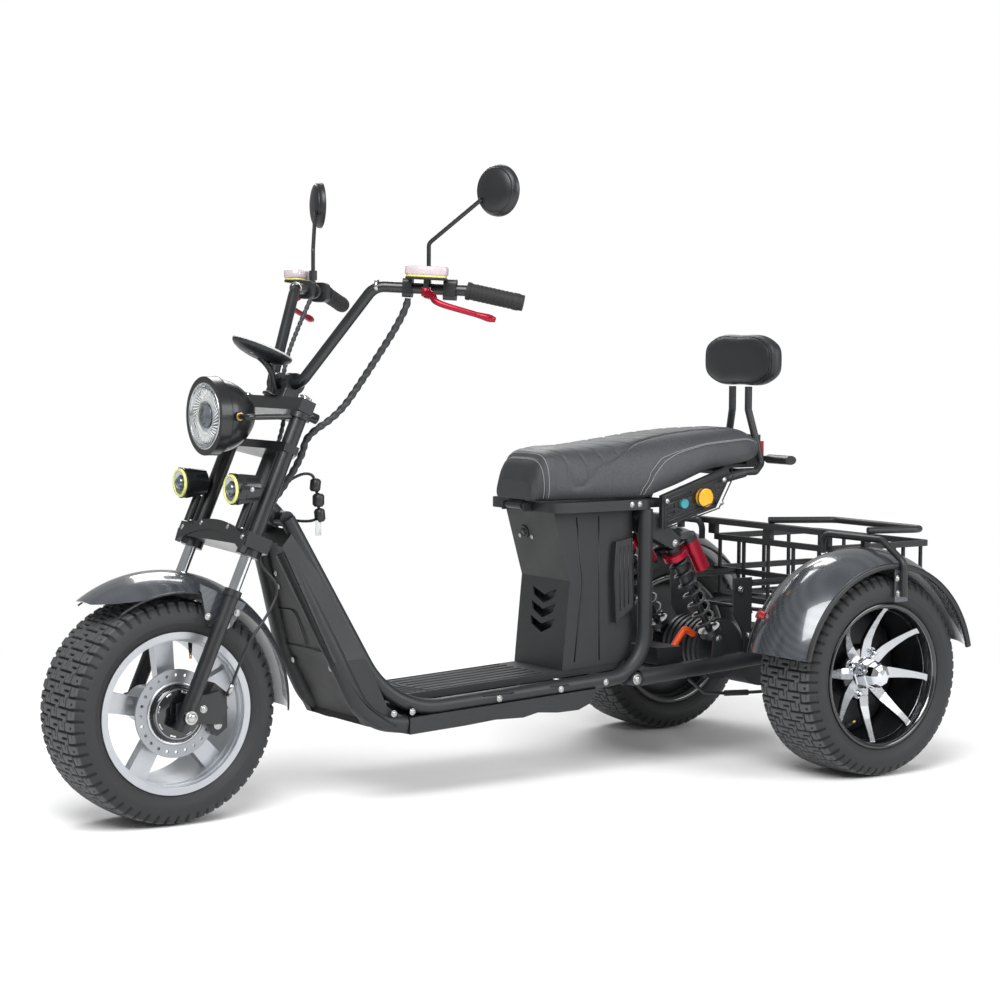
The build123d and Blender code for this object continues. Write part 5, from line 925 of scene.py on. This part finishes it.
pod = bar_point(1, 0.36)
bundle = route([pod - UP * 0.022, pod - UP * 0.045, at(1193, 132, 918), at(1236, 106, 845),
    at(1306, 88, 800), on_fork(-64, 80, 600), on_fork(-58, 62, 520), on_fork(-36, 48, 440),
    on_fork(-36, 48, 398.4)])
piece("cable_bundle", [twisted(bundle, 7.2, 0.9, 2, 38)], BRAID, "steering",
    ("control_cables",))
hose = route([on_fork(-34, 116, 366.7), on_fork(-34, 116, 348), on_fork(-96, 132, 322),
    on_fork(-92, 136, 262), on_fork(-66, 134, 170), on_fork(-78, 120, 92)])
piece("brake_hose", [tube(hose, 3, 12)], WIRE, "steering")
piece("hose_end", [tube([on_fork(-78, 120, 96), on_fork(-80, 118, 84), on_fork(-82, 108, 72)],
    (5.5, 5.5, 5), 12)], STEEL, "steering")
piece("bar_ties", [turned([(-4, 12.2), (-4, 14), (4, 14), (4, 12.2)], bar_point(h, 0.02),
    unit(bar_point(h, 1) - bar_point(h, 0)), 24) for h in SIDES], STEEL, "steering")
piece("gauge_wire",
    [twisted(route([at(1175, -120, 1092), at(1225, -105, 1010), at(1270, -72, 940),
    on_fork(-30, -40, 730), on_fork(-58, -30, 660), on_fork(-62, -38, 604)]), 4.6, 0.7, 2, 28, 14)],
    BRAID, "steering")

# Connectors tied beside the neck, and their tag
for number, (x, y, z, r) in enumerate(((1262, 52, 694, 12), (1258, 58, 662, 13),
        (1256, 60, 630, 12))):
    piece("connector_%d" % number,
        [turned([(-15, 0), (-15, r * 0.7), (-10, r), (8, r), (12, r * 0.75), (15, 0)], at(x, y, z),
        unit(UP + 0.12 * AHEAD * (number - 1)), 10)], SMOOTH_PLASTIC, "chassis")
piece("connector_wires",
    [tube(route([at(1322, 10, 690), at(1292, 28, 716), at(1266, 48, 718), at(1262, 52, 694),
    at(1256, 60, 640), at(1260, 52, 612), at(1292, 24, 616)]), 3.2, 10)], WIRE, "chassis")
piece("wire_tag", [prism([(-7, -16), (7, -16), (7, 16), (-7, 16)], at(1262, 64, 602), AHEAD, UP,
    LEFT * 0.0012)], PALE_RIM, "chassis")

# Leg shield: embossed line and seam on its panel, and a bright line down each moulding


def panel_x(z):
    """The recessed panel's face at a height, in millimetres forward of the rear axle."""
    return 1352 + 0.369 * (z - 566) - 11.4


piece("shield_lines",
    [tube(route([at(panel_x(416), -86, 416), at(panel_x(420), -30, 420), at(panel_x(420), 4, 420),
    at(panel_x(390), 8, 390), at(panel_x(345), 8, 345)]), 1.3, 8)]
    + [tube([at(panel_x(336), y, 336) for y in (-96, -30, 30, 96)], 1.1, 8)], SMOOTH_PLASTIC,
    "chassis")
piece("moulding_lines",
    [tube(route([at(1331, h * 66, 540), at(1248, h * 128, 330), at(1200, h * 137, 226),
    at(1110, h * 137, 172)]), 1.6, 8) for h in SIDES], SMOOTH_PLASTIC, "chassis")

# Floor mat: raised ribs along it and arrow ribs across its front


def on_mat(x, y):
    """A point on the sloping mat."""
    return at(x, y, 230 - 0.0462 * (x - 422) + 30.2)


piece("mat_ribs", [tube([on_mat(x, y) for x in (690, 800, 900, 1000)], 2.2, 8)
    for y in (-84, -56, -28, 0, 28, 56, 84)]
    + [tube([on_mat(x - 14, -88), on_mat(x, 0), on_mat(x - 14, 88)], 2.2, 8)
    for x in np.arange(1014, 1084, 14)], MAT, "chassis")

# Seat box: ridges down its sides, framed scoops and the lock
box_rows = []
for hand in SIDES:
    for line in ([(603, 600), (585, 449), (606, 268)], [(540, 600), (535, 268)]):
        points = [at(x, hand * 96.3, z) for x, z in line]
        box_rows.append(tube(points, 1.5, 8))
    scoop = [(446, 386), (498, 352), (504, 470), (498, 540), (454, 548), (446, 386)]
    box_rows.append(tube([at(x, hand * 110.2, z) for x, z in scoop], 1.7, 8))
    box_rows += [tube([at(x, hand * 110.4, z0), at(x + 2, hand * 110.4, z1)], 1.3, 6)
        for x, z0, z1 in ((462, 396, 530), (474, 388, 530), (486, 380, 528))]
piece("box_ridges", box_rows, SMOOTH_PLASTIC, "chassis")
lock_at = at(651.5, -40, 561)
slope = unit(np.array([163, 0, -48.0]))
piece("box_lock",
    [turned([(-1, 0), (-1, 15), (2, 15), (3, 13), (1, 11), (1, 8), (4, 7.6), (4.6, 0)], lock_at,
    slope, 40)], SMOOTH_PLASTIC, "chassis")
bolts("lock_screws", "chassis",
    [(lock_at + LEFT * s * 0.024 - UP * 0.012 - AHEAD * 0.0034, slope, 4, 2.5, 12) for s in SIDES])

# Tail panels: a raised frame and slanting ribs, broken at the reflector and the port
TAIL_FRAME = ((384, 568), (384, 644), (186, 706), (180, 682), (222, 610), (384, 568), (384, 600))
TAIL_RIBS = ((584, ((376, 228),)), (597, ((376, 342), (298, 290), (234, 214))),
    (610, ((376, 346), (232, 203))), (623, ((376, 292), (238, 194))), (636, ((376, 190),)))
piece("tail_frames",
    [tube([at(x, h * 143.2, z) for x, z in TAIL_FRAME], 1.8, 8) for h in SIDES]
    + [tube([at(x, h * 143, z + (376 - x) * 0.29) for x in run], 1.4, 8)
    for h in SIDES for z, runs in TAIL_RIBS for run in runs], SMOOTH_PLASTIC, "chassis")
piece("reflector_rings", [turned([(-1, 22.4), (-1, 24.5), (1.5, 24.5), (2.4, 23.4), (1.2, 22.2)],
    at(262, h * 143, 636), LEFT * h, 48) for h in SIDES], SMOOTH_PLASTIC, "chassis")
piece("reflector_facets",
    [turned([(0, 22), (1, 21.5), (0.4, 18), (1.4, 14.5), (0.8, 11), (1.8, 7.5), (1.2, 4), (2, 0)],
    at(262, h * 143.2, 636), LEFT * h, 48) for h in SIDES], AMBER, "chassis")


# Floor, light and camera

def stage_floor():
    """A level square 80 m across: a pale floor that takes the shadow near the machine and goes
    over to plain white for the camera 1.3 to 2.6 m away from it."""
    mesh = bpy.data.meshes.new("floor")
    mesh.from_pydata([(-40, -40, 0), (40, -40, 0), (40, 40, 0), (-40, 40, 0)], [], [(0, 1, 2, 3)])
    floor = bpy.data.objects.new("floor", mesh)
    bpy.context.scene.collection.objects.link(floor)
    material = bpy.data.materials.new("pale_floor")
    material.use_nodes = True
    tree = material.node_tree
    shader = tree.nodes["Principled BSDF"]
    shader.inputs["Base Color"].default_value = linear("#fbfbfb")
    shader.inputs["Roughness"].default_value = 0.9
    shader.inputs["Specular IOR Level"].default_value = 0.1
    place = add_node(tree, "ShaderNodeTexCoord").outputs["Object"]
    away = add_node(tree, "ShaderNodeVectorMath", {0: place}, operation="LENGTH").outputs["Value"]
    share = add_node(tree, "ShaderNodeMapRange", {"Value": away, 1: 1.3, 2: 2.6, 3: 0.0, 4: 1.0},
        interpolation_type="SMOOTHSTEP").outputs[0]
    seen = add_node(tree, "ShaderNodeLightPath").outputs["Is Camera Ray"]
    amount = add_node(tree, "ShaderNodeMath", {0: share, 1: seen}, operation="MULTIPLY").outputs[0]
    white = add_node(tree, "ShaderNodeEmission",
        {"Color": linear("#ffffff"), "Strength": 1.0}).outputs[0]
    blend = add_node(tree, "ShaderNodeMixShader",
        {0: amount, 1: shader.outputs[0], 2: white}).outputs[0]
    tree.links.new(blend, tree.nodes["Material Output"].inputs["Surface"])
    floor.data.materials.append(material)


def area_light(name, place, aim, size, power):
    """A square soft light that faces its aim."""
    data = bpy.data.lights.new(name, "AREA")
    data.size = size
    data.energy = power
    made = bpy.data.objects.new(name, data)
    made.location = place
    way = unit(np.asarray(aim) - np.asarray(place))
    made.rotation_euler = Vector(way).to_track_quat("-Z", "Y").to_euler()
    bpy.context.scene.collection.objects.link(made)


stage_floor()
AMBIENT = 0.36                   # light from all round, under the three lamps
world = bpy.data.worlds.new("studio")
bpy.context.scene.world = world
world.use_nodes = True
sky = world.node_tree
background = sky.nodes["Background"]
rays = add_node(sky, "ShaderNodeLightPath")
seen = add_node(sky, "ShaderNodeMath",
    {0: rays.outputs["Is Camera Ray"], 1: rays.outputs["Is Transmission Ray"]},
    operation="MAXIMUM").outputs[0]
strength = add_node(sky, "ShaderNodeMapRange", {"Value": seen, 3: AMBIENT, 4: 1.0}).outputs[0]
background.inputs["Color"].default_value = linear("#ffffff")
sky.links.new(strength, background.inputs["Strength"])
area_light("key", (2.6, 2.6, 4.2), (0, 0, 0.3), 3.2, 300)
area_light("fill", (-2.6, 4.2, 2.4), (-0.2, 0, 0.4), 2.6, 120)
area_light("rim", (-1.5, -3.5, 3.8), (0, 0, 0.6), 2.5, 120)

# Camera, as solved from the wheels and the frame's lines
CAMERA_PLACE = (3.761 + REAR_X, 4.414, 1.025)
CAMERA_LENS = 84.654
view_yaw, view_pitch, view_roll = (math.radians(a) for a in (34.31, 4.13, 0.32))
view_way = np.array([-math.sin(view_yaw) * math.cos(view_pitch),
    -math.cos(view_yaw) * math.cos(view_pitch), -math.sin(view_pitch)])
view_right = np.array([-math.cos(view_yaw), math.sin(view_yaw), 0])
view_top = np.cross(view_right, view_way)
lens = bpy.data.cameras.new("photo_view")
lens.sensor_width = 36
lens.lens = CAMERA_LENS
camera = bpy.data.objects.new("photo_view", lens)
bpy.context.scene.collection.objects.link(camera)
turned_right = view_right * math.cos(view_roll) + view_top * math.sin(view_roll)
turned_top = view_top * math.cos(view_roll) - view_right * math.sin(view_roll)
pose = np.eye(4)
pose[:3, 0], pose[:3, 1], pose[:3, 2] = turned_right, turned_top, -view_way
pose[:3, 3] = CAMERA_PLACE
camera.matrix_world = Matrix(pose.tolist())
bpy.context.scene.camera = camera
bpy.context.scene.view_settings.view_transform = "Standard"
